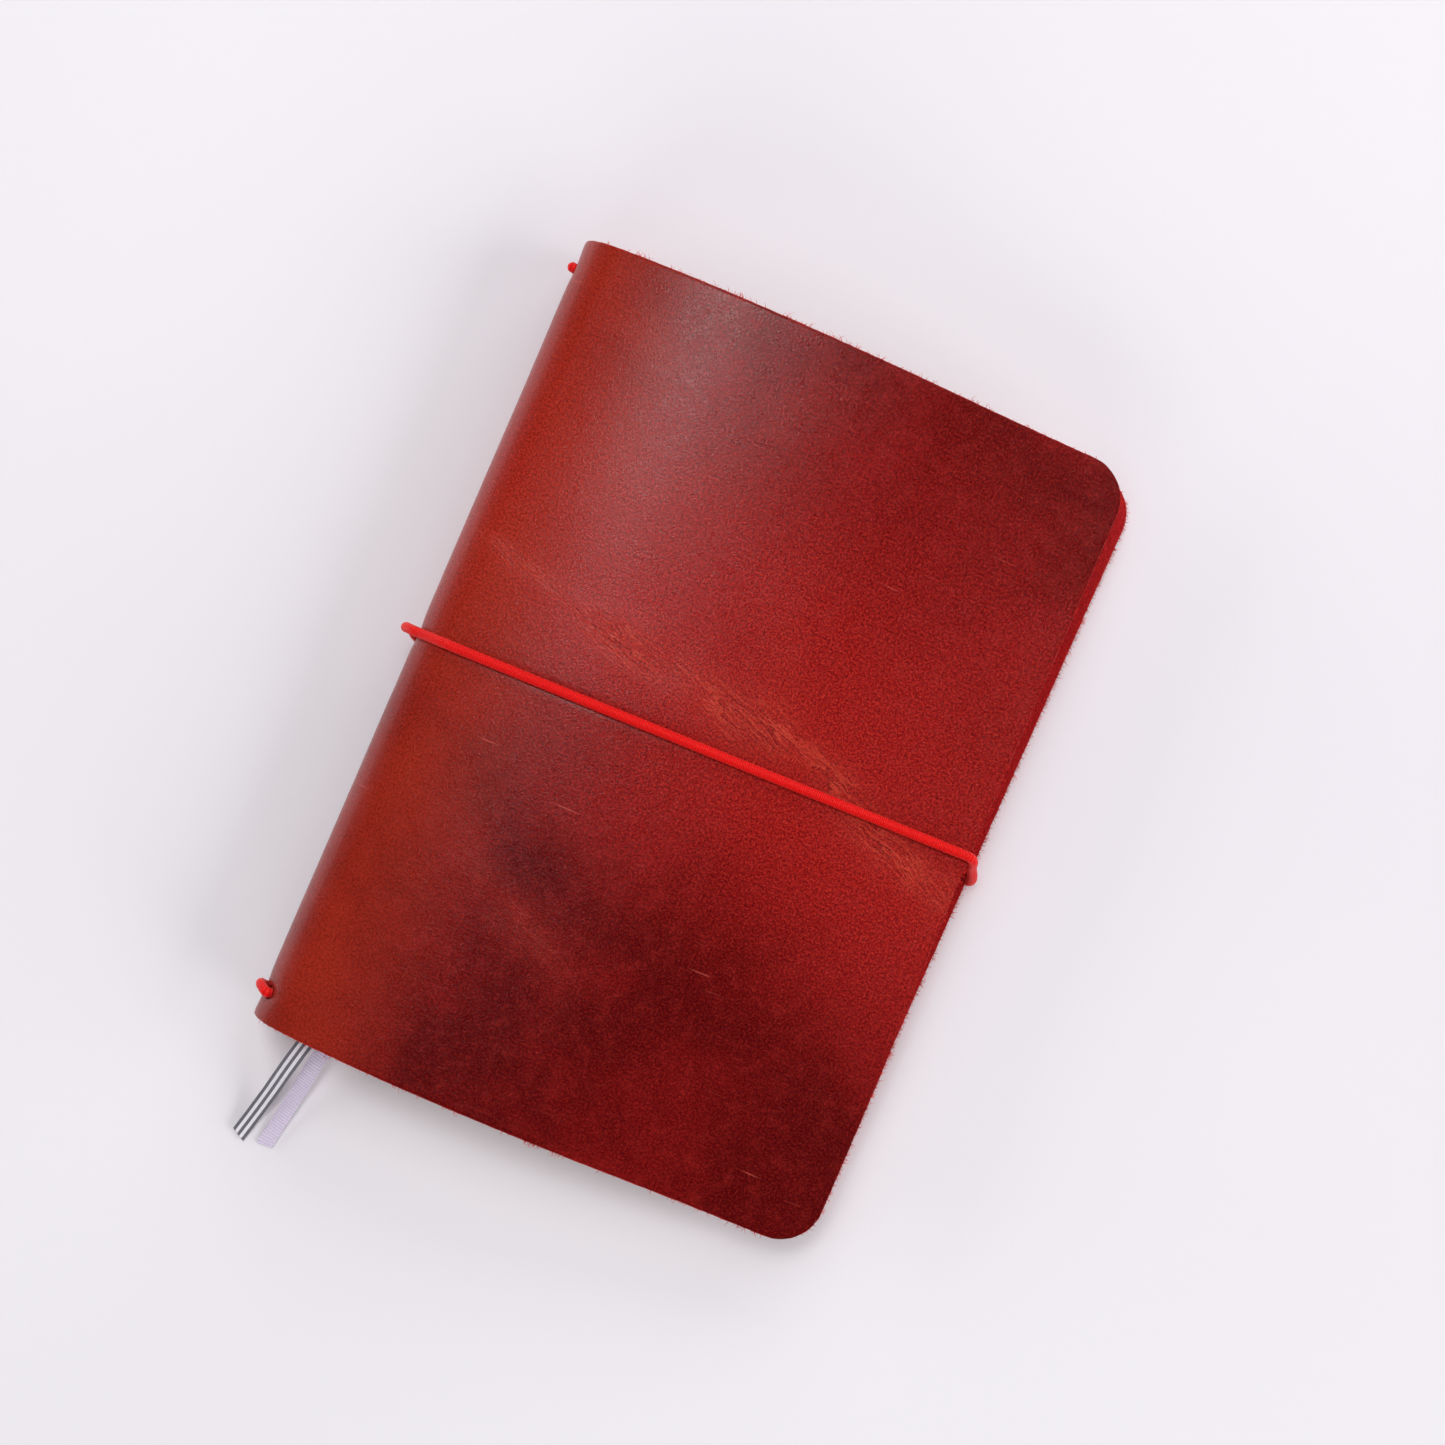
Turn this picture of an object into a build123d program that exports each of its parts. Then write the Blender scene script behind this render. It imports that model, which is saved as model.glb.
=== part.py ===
"""Pocket notebook: a wrap-around leather cover that holds three stapled booklets on elastic cord.

The notebook lies closed on its back cover. +Y is the head of the pages, +X the fore-edge, +Z up.
The origin is the centre of the back cover's outer face. All sizes are in millimetres.
Sections are drawn in the XZ plane with s, the distance from the outermost line of the spine, and z.
"""

from build123d import *
import math
import os

# ---------------------------------------------------------------- driving dimensions
COVER_HEIGHT = 152.0          # head to tail
LEATHER = 1.8                 # leather thickness
SPINE_RADIUS = 9.5            # outside of the round spine
CROWN_RADIUS = 103.0          # front leaf, where it rises to its highest line
SHOULDER_RADIUS = 205.0       # front leaf, where it falls away
SWEEP_RADIUS = 260.0          # front leaf, hollow stretch towards the fore-edge
SPINE_EXIT_SLOPE = 15.0       # degrees, slope of the front leaf where the spine ends
FALL_SLOPE = 11.0             # degrees, steepest fall of the front leaf
EDGE_SLOPE = 3.0              # degrees, slope at the front leaf's fore-edge
BACK_REACH_HEAD = 111.4       # s of the back leaf's fore-edge at the head
BACK_REACH_TAIL = 109.6       # and at the tail, because the cover is folded slightly askew
CORNER = 8.0                  # corner radius in plan
ORIGIN_S = 55.25              # s of the row's origin

# Headings, in degrees, at which the leather bends on its way from the back leaf to the front leaf.
HINGE_HEADINGS = [150.0, 105.0, 66.0, 15.0]
STRIP_COUNT = len(HINGE_HEADINGS) - 1

CORD = 1.9                    # elastic cord diameter
CORD_HOLE = 2.2
HOLE_FROM_CENTRE = 71.0       # cord holes, head and tail, from mid-height
HOLE_ANGLES = {"front": 146.0, "middle": 180.0, "back": 218.0}  # round the spine's axis
# Every hole but the front one at the head, where the cord is tied off inside the spine.
CORD_HOLES = [
    ("front", -HOLE_FROM_CENTRE), ("middle", -HOLE_FROM_CENTRE), ("back", -HOLE_FROM_CENTRE),
    ("middle", HOLE_FROM_CENTRE), ("back", HOLE_FROM_CENTRE),
]
CLOSURE_FRONT_Y = -0.9        # closing cord, over the front
CLOSURE_BACK_Y = -3.1         # closing cord, under the back
CHANNEL_DEPTH = 1.2           # groove that the closing cord presses into the back leaf
CHANNEL_WIDTH = 2.9

PAGE_HEIGHT = 139.0
BOOKLET_WIDTH = 89.0
CARD = 0.35                   # booklet cover thickness
STACK_BASE = LEATHER + 0.2    # lowest booklet's underside
STACK_GAP = 0.3               # below the front leaf's flesh side
STACK_TOP = 20.0              # a height above the middle booklet
PAGE_RECESS = 0.6             # pages stop this far inside their card cover
SLIT = 0.1                    # between a closed booklet's two halves
LEAF_PAPER = 0.12             # a loose leaf
LEAF_PITCH = 0.15
LEAF_COUNT = 3
HALF_LIFT = 0.5               # front half of the middle booklet, above its parting plane

# Fold centre (s, z), fold radius and the section's top and bottom at the fore-edge.
BACK_BOOKLET = dict(fold=(9.8, 5.2), radius=3.2, low=STACK_BASE, high=5.7)
MIDDLE_BOOKLET = dict(fold=(7.2, 11.5), radius=2.6, low=5.9, high=9.4)
FRONT_BOOKLET = dict(fold=(12.0, 16.05), radius=1.8, low=9.6, high=22.0)
PARTING_EDGE_Z = 8.4          # parting plane of the middle booklet at its fore-edge

WIRE = 0.5                    # staple wire
STAPLE_SPAN = 12.0
STAPLE_Y = 36.0
RIBBON_WIDTH = 3.0
RIBBON = 0.25
RIBBON_GAP = 0.02             # left all round a ribbon in its bed
RIBBON_LAP = 0.4              # by which the flat part runs on into the falling part
RIBBON_BEND = 6.0             # radius of a ribbon's bends as it falls
# Each ribbon's underside (s, z, y): head, where it clears the pages and starts to fall, falling, and tip.
GREY_ROUTE = [(11.8, 10.95, 67.0), (12.6, 10.95, -71.0), (9.86, 10.3, -81.5), (7.13, 1.1, -92.0), (5.0, 0.35, -100.2)]
LAVENDER_ROUTE = [
    (14.2, 4.85, 67.0), (15.2, 4.85, -71.0), (13.4, 4.56, -81.5), (11.6, 0.39, -92.0), (10.2, 0.05, -100.2)
]

HALF_HEIGHT = COVER_HEIGHT / 2
HALF_PAGE = PAGE_HEIGHT / 2
SPINE_AXIS = (SPINE_RADIUS, SPINE_RADIUS)
CORD_RADIUS = CORD / 2
HINGE_FOLD_S = MIDDLE_BOOKLET["fold"][0] - MIDDLE_BOOKLET["radius"]
HINGE_FOLD_Z = MIDDLE_BOOKLET["fold"][1]
MIDDLE_EDGE_S = HINGE_FOLD_S + BOOKLET_WIDTH
STRAND_PLACES = {"front": (12.9, 16.0), "middle": (8.6, 10.3), "back": (10.9, 5.15)}


# ---------------------------------------------------------------- plane geometry
def at(s, z, y=0.0):
    """A point from section coordinates."""
    return Vector(s - ORIGIN_S, y, z)


def bearing(centre, radius, degrees):
    """The point (s, z) on a circle."""
    a = math.radians(degrees)
    return centre[0] + radius * math.cos(a), centre[1] + radius * math.sin(a)


def leather_path():
    """Arcs of the leather's outer face from the back leaf round to the front leaf's fore-edge.

    Each is (centre, radius, first heading, last heading, side): side is 1 where the path turns
    right, with the centre on its right, and -1 where it turns left."""
    point, arcs, heading = (SPINE_RADIUS, 0.0), [], 180.0
    turns = [
        (SPINE_RADIUS, SPINE_EXIT_SLOPE, 1),
        (CROWN_RADIUS, 0.0, 1),
        (SHOULDER_RADIUS, -FALL_SLOPE, 1),
        (SWEEP_RADIUS, -EDGE_SLOPE, -1),
    ]
    for radius, end, side in turns:
        centre = bearing(point, radius, heading - 90 * side)
        arcs.append((centre, radius, heading, end, side))
        point = bearing(centre, radius, end + 90 * side)
        heading = end
    return arcs


LEATHER_PATH = leather_path()


def on_arc(arc, heading, depth):
    """The point (s, z) where an arc has this heading, depth inside the leather's outer face."""
    centre, radius, _, _, side = arc
    return bearing(centre, radius - side * depth, heading + 90 * side)


def stretch(first, last, depth):
    """Edges parallel to the leather's outer face between two headings on the spine and crown,
    or on to the fore-edge where last is None."""
    edges = []
    for number, arc in enumerate(LEATHER_PATH):
        begin, end = arc[2], arc[3]
        if number < 2:
            begin = min(begin, first)
            end = end if last is None else max(end, last)
            if begin <= end:
                continue
        elif last is not None:
            continue
        middle = (begin + end) / 2
        three = [at(*on_arc(arc, h, depth)) for h in (begin, middle, end)]
        edges.append(ThreePointArc(*three))
    return edges


def section(edges):
    """A closed face from edges in order, with straight lines across the gaps between them."""
    closed = []
    for edge, following in zip(edges, edges[1:] + edges[:1]):
        closed.append(edge)
        here, there = edge @ 1, following @ 0
        if (there - here).length > 1e-6:
            closed.append(Line(here, there))
    return make_face(Wire(closed))


def prism(face, low, high):
    """A section drawn at y = 0, from y = low to y = high."""
    return extrude(Pos(0, low, 0) * face, amount=high - low, dir=(0, 1, 0))


def polygon(points):
    """A face through points (s, z)."""
    corners = [at(*p) for p in points]
    return make_face(Polyline(*corners, close=True))


def band(first, last, outer=0.0, inner=LEATHER):
    """The section of a stretch of leather."""
    back = [Edge.reversed(edge) for edge in reversed(stretch(first, last, inner))]
    return section(stretch(first, last, outer) + back)


def plan(points, low=-5.0, high=40.0):
    """A vertical prism from points (s, y)."""
    outline = Polyline(*[Vector(s - ORIGIN_S, y, low) for s, y in points], close=True)
    return extrude(make_face(outline), amount=high - low, dir=(0, 0, 1))


def rounded_leaf(reach_head, reach_tail):
    """The plan of a leaf, with its two fore-edge corners rounded."""
    leaf = plan([
        (-5, -HALF_HEIGHT), (reach_tail, -HALF_HEIGHT), (reach_head, HALF_HEIGHT), (-5, HALF_HEIGHT)
    ])
    corners = leaf.edges().filter_by(Axis.Z).sort_by(Axis.X)[-2:]
    return fillet(corners, CORNER)


# ---------------------------------------------------------------- leather cover
def spine_hole(angle, y, radius=CORD_HOLE / 2):
    """A round hole through the spine, square to its surface."""
    start = at(*bearing(SPINE_AXIS, SPINE_RADIUS - 3, angle), y)
    outward = Vector(math.cos(math.radians(angle)), 0, math.sin(math.radians(angle)))
    drill = Plane(origin=start, z_dir=outward)
    return extrude(drill * Circle(radius), amount=6)


def closure_slot():
    """The slot in the middle of the spine that both ends of the closing cord pass through."""
    ends = [spine_hole(180, y) for y in (CLOSURE_FRONT_Y, CLOSURE_BACK_Y)]
    middle_y = (CLOSURE_FRONT_Y + CLOSURE_BACK_Y) / 2
    span = CLOSURE_FRONT_Y - CLOSURE_BACK_Y
    return ends[0] + ends[1] + Pos(*at(0, SPINE_RADIUS, middle_y)) * Box(7, span, CORD_HOLE)


def spine_strips():
    """The strips of the spine, from the back leaf up and over to the front leaf."""
    strips = []
    for number in range(STRIP_COUNT):
        strip = prism(band(*HINGE_HEADINGS[number:number + 2]), -HALF_HEIGHT, HALF_HEIGHT)
        for name, y in CORD_HOLES:
            if HINGE_HEADINGS[number] > HOLE_ANGLES[name] - 90 > HINGE_HEADINGS[number + 1]:
                strip -= spine_hole(HOLE_ANGLES[name], y)
        if HINGE_HEADINGS[number] > 90 > HINGE_HEADINGS[number + 1]:
            strip -= closure_slot()
        strips.append(strip)
    return strips


def front_leaf():
    reach = on_arc(LEATHER_PATH[-1], -EDGE_SLOPE, 0)[0]
    body = prism(band(HINGE_HEADINGS[-1], None), -HALF_HEIGHT, HALF_HEIGHT)
    return body & rounded_leaf(reach, reach)


def back_leaf():
    far = max(BACK_REACH_HEAD, BACK_REACH_TAIL)
    slab = polygon([(SPINE_RADIUS, 0), (far, 0), (far, LEATHER), (SPINE_RADIUS, LEATHER)])
    body = prism(slab, -HALF_HEIGHT, HALF_HEIGHT) & rounded_leaf(BACK_REACH_HEAD, BACK_REACH_TAIL)
    body += prism(band(180.0, HINGE_HEADINGS[0]), -HALF_HEIGHT, HALF_HEIGHT)
    groove = Pos(*at(far / 2, 0, CLOSURE_BACK_Y)) * Box(2 * far, CHANNEL_WIDTH, 2 * CHANNEL_DEPTH)
    return body - groove


# ---------------------------------------------------------------- booklets
def booklet_outline(fold, radius, low, high, inset=0.0, reach=0.0):
    """A closed booklet's section, inset all round and reaching further at the fore-edge."""
    s, z = fold
    edge = s - radius + BOOKLET_WIDTH + reach
    top, base = z + radius - inset, z - radius + inset
    low_edge, high_edge = at(edge, low + inset), at(edge, high - inset)
    return section([
        Line(low_edge, at(s, base)),
        ThreePointArc(at(s, base), at(s - radius + inset, z), at(s, top)),
        Line(at(s, top), high_edge),
    ])


def under_front_leaf(depth):
    """Everything lower than a surface this deep inside the cover's outer face."""
    over = stretch(180.0, None, depth)
    return prism(section(over), -HALF_HEIGHT, HALF_HEIGHT)


def strand_channel(name, margin=0.1):
    """The round space that an elastic strand takes inside a fold."""
    s, z = STRAND_PLACES[name]
    disc = Plane(origin=at(s, z, -HALF_HEIGHT), z_dir=(0, 1, 0)) * Circle(CORD_RADIUS + margin)
    return extrude(disc, amount=COVER_HEIGHT)


def mid_slit(fold, edge_z):
    """The gap between a closed booklet's halves, from its strand to the fore-edge."""
    s, z = fold
    half = SLIT / 2
    far = s + BOOKLET_WIDTH
    gap = polygon([(s + 1, z - half), (far, edge_z - half), (far, edge_z + half), (s + 1, z + half)])
    return prism(gap, -HALF_HEIGHT, HALF_HEIGHT)


def closed_booklet(shape, strand, trim_top=False):
    """The card cover and the folded pages of a booklet that stays shut."""
    outer = prism(booklet_outline(**shape), -HALF_PAGE, HALF_PAGE)
    inner = prism(booklet_outline(**shape, inset=CARD, reach=5), -HALF_PAGE - 1, HALF_PAGE + 1)
    if trim_top:
        outer &= under_front_leaf(LEATHER + STACK_GAP)
        inner &= under_front_leaf(LEATHER + STACK_GAP + CARD)
    fold_s = shape["fold"][0]
    edge = fold_s - shape["radius"] + BOOKLET_WIDTH - PAGE_RECESS
    half = HALF_PAGE - PAGE_RECESS
    page_box = plan([(0, -half), (edge, -half), (edge, half), (0, half)])
    top_z = 13.0 if trim_top else shape["high"]
    pages = (inner & page_box) - mid_slit(shape["fold"], (shape["low"] + top_z) / 2)
    pages -= strand_channel(strand)
    return outer - inner, pages


def parting_z(s, lift=0.0):
    """Height of the middle booklet's parting plane."""
    share = (s - HINGE_FOLD_S) / (MIDDLE_EDGE_S - HINGE_FOLD_S)
    return HINGE_FOLD_Z + share * (PARTING_EDGE_Z - HINGE_FOLD_Z) + lift


def middle_side(above, lift=0.0):
    """Everything above, or below, the middle booklet's parting plane."""
    far, limit = 120.0, 30.0 if above else -5.0
    corners = [
        (HINGE_FOLD_S, parting_z(HINGE_FOLD_S, lift)), (far, parting_z(far, lift)),
        (far, limit), (HINGE_FOLD_S, limit),
    ]
    return prism(polygon(corners), -HALF_HEIGHT, HALF_HEIGHT)


def middle_booklet():
    """Card cover halves and page halves of the booklet that the notebook opens at."""
    outer = prism(booklet_outline(**MIDDLE_BOOKLET), -HALF_PAGE, HALF_PAGE)
    inner = prism(booklet_outline(**MIDDLE_BOOKLET, inset=CARD, reach=5), -HALF_PAGE - 1, HALF_PAGE + 1)
    half = HALF_PAGE - PAGE_RECESS
    edge = MIDDLE_EDGE_S - PAGE_RECESS
    block = inner & plan([(0, -half), (edge, -half), (edge, half), (0, half)])
    card = outer - inner
    front, back = middle_side(True, HALF_LIFT), middle_side(False)
    s, z = STRAND_PLACES["middle"]
    wide = CORD_RADIUS + 0.1
    groove = polygon([(s - wide, z - wide), (s + wide, z - wide), (s + wide, z + 5), (s - wide, z + 5)])
    back_pages = (block & back) - prism(groove, -HALF_HEIGHT, HALF_HEIGHT)
    return card & back, card & front, back_pages, block & front


def loose_leaf(number):
    """A single leaf at the parting plane of the middle booklet."""
    low = 0.03 + number * LEAF_PITCH
    near, far = HINGE_FOLD_S + 0.5, MIDDLE_EDGE_S - PAGE_RECESS
    sheet = polygon([
        (near, parting_z(near, low)), (far, parting_z(far, low)),
        (far, parting_z(far, low + LEAF_PAPER)), (near, parting_z(near, low + LEAF_PAPER)),
    ])
    half = HALF_PAGE - PAGE_RECESS
    return prism(sheet, -half, half)


# ---------------------------------------------------------------- staples
def staple(fold_s, z, depth, y, wire=WIRE):
    """A staple through a fold: crown outside, legs through it, tips bent together inside."""
    half = STAPLE_SPAN / 2
    inside = fold_s + depth
    points = [
        (inside, y - 2), (inside, y - half), (fold_s, y - half),
        (fold_s, y + half), (inside, y + half), (inside, y + 2),
    ]
    path = FilletPolyline(*[at(s, z, py) for s, py in points], radius=wire * 0.7)
    start = Plane(origin=path @ 0, z_dir=path % 0)
    return sweep(start * Circle(wire / 2), path=path)


def staples(fold_s, z, depth, wire=WIRE):
    return [staple(fold_s, z, depth, y, wire) for y in (-STAPLE_Y, STAPLE_Y)]


def staple_room(fold_s, z, depth):
    """What a booklet loses to its staples, open towards the outside of the fold."""
    room = []
    for y in (-STAPLE_Y, STAPLE_Y):
        span = STAPLE_SPAN + WIRE + 0.1
        middle = at(fold_s + depth / 2 - 0.5, z, y)
        room.append(Pos(*middle) * Box(depth + 1 + WIRE + 0.1, span, WIRE + 0.1))
    return room


# ---------------------------------------------------------------- elastic cord
def cord_along(path, radius=CORD_RADIUS):
    return sweep(Plane(origin=path @ 0, z_dir=path % 0) * Circle(radius), path=path)


def strand(name):
    """The elastic from a tail hole, along the inside of a fold, to the head hole or the tied-off end."""
    s, z = STRAND_PLACES[name]
    hole = bearing(SPINE_AXIS, SPINE_RADIUS - 0.3, HOLE_ANGLES[name])
    inside = bearing(SPINE_AXIS, SPINE_RADIUS - 4.0, HOLE_ANGLES[name])
    way_in = [at(*place, -HOLE_FROM_CENTRE) for place in (hole, inside, (s, z))]
    way_out = [at(*place, HOLE_FROM_CENTRE) for place in ((s, z), inside)]
    if (name, HOLE_FROM_CENTRE) in CORD_HOLES:
        way_out.append(at(*hole, HOLE_FROM_CENTRE))
    return cord_along(FilletPolyline(*way_in, *way_out, radius=1.2))


def stitch(first, last, y):
    """The elastic where it crosses the outside of the spine between two holes."""
    inner, outer = SPINE_RADIUS - 0.15, SPINE_RADIUS + CORD_RADIUS
    bow = outer + 0.9
    points = [
        at(*bearing(SPINE_AXIS, inner, first), y),
        at(*bearing(SPINE_AXIS, bow, first - math.copysign(2, first - last)), y),
        at(*bearing(SPINE_AXIS, bow + 0.4, (first + last) / 2), y),
        at(*bearing(SPINE_AXIS, bow, last + math.copysign(2, first - last)), y),
        at(*bearing(SPINE_AXIS, inner, last), y),
    ]
    path = FilletPolyline(*points, radius=1.0)
    lap = spine_band_outside(inner + 0.15)
    return cord_along(path) & lap


def spine_band_outside(radius):
    """A ring round the spine, used to end a stitch flush with the leather."""
    ring = Plane(origin=at(*SPINE_AXIS, -HALF_HEIGHT), z_dir=(0, 1, 0))
    return extrude(ring * (Circle(radius + 6) - Circle(radius)), amount=COVER_HEIGHT)


def knot(s, y, z, size):
    """A tight knot, as a flattened ball."""
    ball = Sphere(1)
    return Pos(*at(s, z, y)) * scale(ball, by=size)


def closure_front_run():
    """The closing cord from the spine slot over the front leaf to its fore-edge."""
    lift = -(CORD_RADIUS + 0.06)
    edges = stretch(86.0, None, lift)
    wire = Pos(0, CLOSURE_FRONT_Y, 0) * Wire(edges)
    return wire


def closure_elastic(leather):
    """The closing cord: one loop, both ends in the spine slot, pressed against the leather."""
    lift = CORD_RADIUS + 0.06
    ring = SPINE_RADIUS + lift
    front = closure_front_run()
    over = cord_along(front)
    tip = front @ 1
    heading = front % 1
    back_edge = (BACK_REACH_HEAD + BACK_REACH_TAIL) / 2
    low_z = 0.62
    low_s = back_edge + 0.75
    points = [
        tip, tip + heading * 1.6,
        at(low_s - 0.1, 7.5, CLOSURE_FRONT_Y - 1.6),
        at(low_s + 0.55, 2.6, CLOSURE_BACK_Y + 0.1),
        at(low_s - 0.1, low_z + 0.1, CLOSURE_BACK_Y),
        at(low_s - 4.5, low_z, CLOSURE_BACK_Y),
    ]
    radii = [0.9, 2.2, 1.6, 1.0]
    edge_turn = cord_along(FilletPolyline(*points, radius=radii), CORD_RADIUS)
    edge_turn &= plan([(60, -20), (130, -20), (130, 20), (60, 20)], low=0.02)
    flat = Plane(origin=at(SPINE_RADIUS - 1.5, 0.6, CLOSURE_BACK_Y), z_dir=(1, 0, 0))
    flat_run = extrude(flat * SlotOverall(2.6, 1.1, rotation=90), amount=low_s - SPINE_RADIUS)
    rise = [at(*bearing(SPINE_AXIS, ring, a), CLOSURE_BACK_Y) for a in (262, 223, 184)]
    under = cord_along(ThreePointArc(*rise)) & plan([(-9, -20), (9.4, -20), (9.4, 20), (-9, 20)], low=0.02)
    inside = []
    for y, angle in ((CLOSURE_FRONT_Y, 176), (CLOSURE_BACK_Y, 184)):
        corner = at(*bearing(SPINE_AXIS, ring, angle), y)
        inside.append(Pos(*corner) * Sphere(CORD_RADIUS))
        reach = corner + Vector(lift + LEATHER, 0, 0)
        inside.append(cord_along(Line(corner, reach)))
    loop = over + edge_turn + flat_run + under
    for piece in inside:
        loop += piece
    return loop - leather


# ---------------------------------------------------------------- ribbons
def ribbon(route):
    """A marker ribbon: flat between the pages, then falling in one curve to the surface."""
    (head_s, _, head_y), (turn_s, turn_z, turn_y) = route[:2]
    tip_s, _, tip_y = route[-1]
    inside = plan([
        (head_s - RIBBON_WIDTH / 2, head_y), (head_s + RIBBON_WIDTH / 2, head_y),
        (turn_s + RIBBON_WIDTH / 2, turn_y), (turn_s - RIBBON_WIDTH / 2, turn_y),
    ])
    lean = math.degrees(math.atan2(turn_s - tip_s, turn_y - tip_y))
    side = Plane(origin=at(turn_s, turn_z, turn_y), x_dir=(0, -1, 0), z_dir=(-1, 0, 0))
    fall = [(math.hypot(s - turn_s, y - turn_y), z - turn_z) for s, z, y in route[1:]]
    line = FilletPolyline(*fall, radius=[RIBBON_BEND, RIBBON_BEND])
    tail_face = side * trace_band(line, RIBBON)
    tail = extrude(tail_face, amount=RIBBON_WIDTH / 2, both=True)
    pivot = Axis(at(turn_s, 0, turn_y), (0, 0, 1))
    return inside, tail.rotate(pivot, -lean)


def trace_band(line, thickness):
    """A thin face along a line in the XY plane, on the line's upper side."""
    upper = offset(line, amount=thickness, side=Side.LEFT, closed=True)
    return make_face(upper)


def ribbon_layer(route, lows):
    """The flat layer of a ribbon between the pages; lows are two places (s, z) of its underside."""
    (near, near_z), (far, far_z) = lows
    slab = polygon([(near, near_z), (far, far_z), (far, far_z + RIBBON), (near, near_z + RIBBON)])
    return prism(slab, route[1][2] - RIBBON_LAP, route[0][2])


def grey_ribbon():
    """The striped ribbon, which lies in the middle booklet's open spread."""
    inside, tail = ribbon(GREY_ROUTE)
    lows = [(s, parting_z(s) - RIBBON - RIBBON_GAP) for s in (8, 20)]
    return (inside & ribbon_layer(GREY_ROUTE, lows)) + tail


def lavender_ribbon():
    """The plain ribbon, which lies in the back booklet's closed spread."""
    inside, tail = ribbon(LAVENDER_ROUTE)
    lows = [(s, LAVENDER_ROUTE[0][1]) for s in (10, 20)]
    return (inside & ribbon_layer(LAVENDER_ROUTE, lows)) + tail


def ribbon_room(route, low_z, high_z):
    """The shallow bed that a ribbon presses into the pages."""
    wide = RIBBON_WIDTH / 2 + 0.25
    (head_s, _, head_y), (turn_s, _, turn_y) = route[:2]
    return plan([
        (head_s - wide, head_y + 1), (head_s + wide, head_y + 1),
        (turn_s + wide, turn_y - 1), (turn_s - wide, turn_y - 1),
    ], low=low_z, high=high_z)


# ---------------------------------------------------------------- assembly
def build():
    """Every node by name."""
    nodes = {"back_cover_leaf": back_leaf(), "front_cover_leaf": front_leaf()}
    for number, strip in enumerate(spine_strips(), 1):
        nodes[f"spine_strip_{number}"] = strip
    leather = list(nodes.values())

    back_card, back_pages = closed_booklet(BACK_BOOKLET, "back")
    front_card, front_pages = closed_booklet(FRONT_BOOKLET, "front", trim_top=True)
    card_back, card_front, pages_back, pages_front = middle_booklet()
    back_fold_z = BACK_BOOKLET["fold"][1]
    back_pages -= ribbon_room(LAVENDER_ROUTE, LAVENDER_ROUTE[0][1] - RIBBON_GAP, back_fold_z)
    pages_back -= ribbon_room(GREY_ROUTE, GREY_ROUTE[0][1] - 8 * RIBBON_GAP, STACK_TOP)

    fold_plans = {
        "back": (BACK_BOOKLET["fold"][0] - BACK_BOOKLET["radius"], BACK_BOOKLET["fold"][1], 0.75),
        "middle": (HINGE_FOLD_S + WIRE / 2, HINGE_FOLD_Z - WIRE / 2 - 0.07, 1.3),
        "front": (FRONT_BOOKLET["fold"][0] - FRONT_BOOKLET["radius"], FRONT_BOOKLET["fold"][1], 0.9),
    }
    for room in staple_room(*fold_plans["back"]):
        back_card -= room
        back_pages -= room
    for room in staple_room(*fold_plans["middle"]):
        card_back -= room
        pages_back -= room
    for room in staple_room(*fold_plans["front"]):
        front_card -= room
        front_pages -= room

    nodes["back_booklet_cover"], nodes["back_booklet_pages"] = back_card, back_pages
    nodes["front_booklet_cover"], nodes["front_booklet_pages"] = front_card, front_pages
    nodes["middle_booklet_cover_back"], nodes["middle_booklet_cover_front"] = card_back, card_front
    nodes["middle_booklet_pages_back"], nodes["middle_booklet_pages_front"] = pages_back, pages_front
    for name, fold_plan in fold_plans.items():
        nodes[f"{name}_booklet_staples"] = Compound(children=staples(*fold_plan))
    for number in range(LEAF_COUNT):
        nodes[f"loose_leaf_{number + 1}"] = loose_leaf(number)

    for name in STRAND_PLACES:
        nodes[f"elastic_strand_{name}"] = strand(name)
    nodes["elastic_stitch_tail"] = stitch(HOLE_ANGLES["front"], HOLE_ANGLES["middle"], -HOLE_FROM_CENTRE)
    nodes["elastic_stitch_head"] = stitch(HOLE_ANGLES["middle"], HOLE_ANGLES["back"], HOLE_FROM_CENTRE)
    nodes["closure_elastic"] = closure_elastic(leather)
    slot_y = (CLOSURE_FRONT_Y + CLOSURE_BACK_Y) / 2
    nodes["closure_elastic_knot"] = knot(LEATHER + 1.45, slot_y, SPINE_RADIUS, (1.1, 2.9, 2.5))
    nodes["ribbon_grey_striped"] = grey_ribbon()
    nodes["ribbon_lavender"] = lavender_ribbon()
    return nodes


def main():
    os.makedirs("parts", exist_ok=True)
    for name, shape in build().items():
        shape.label = name
        export_step(shape, f"parts/{name}.step")


if __name__ == "__main__":
    main()
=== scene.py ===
import math

import bpy
import numpy as np
from mathutils import Matrix, Vector


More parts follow.
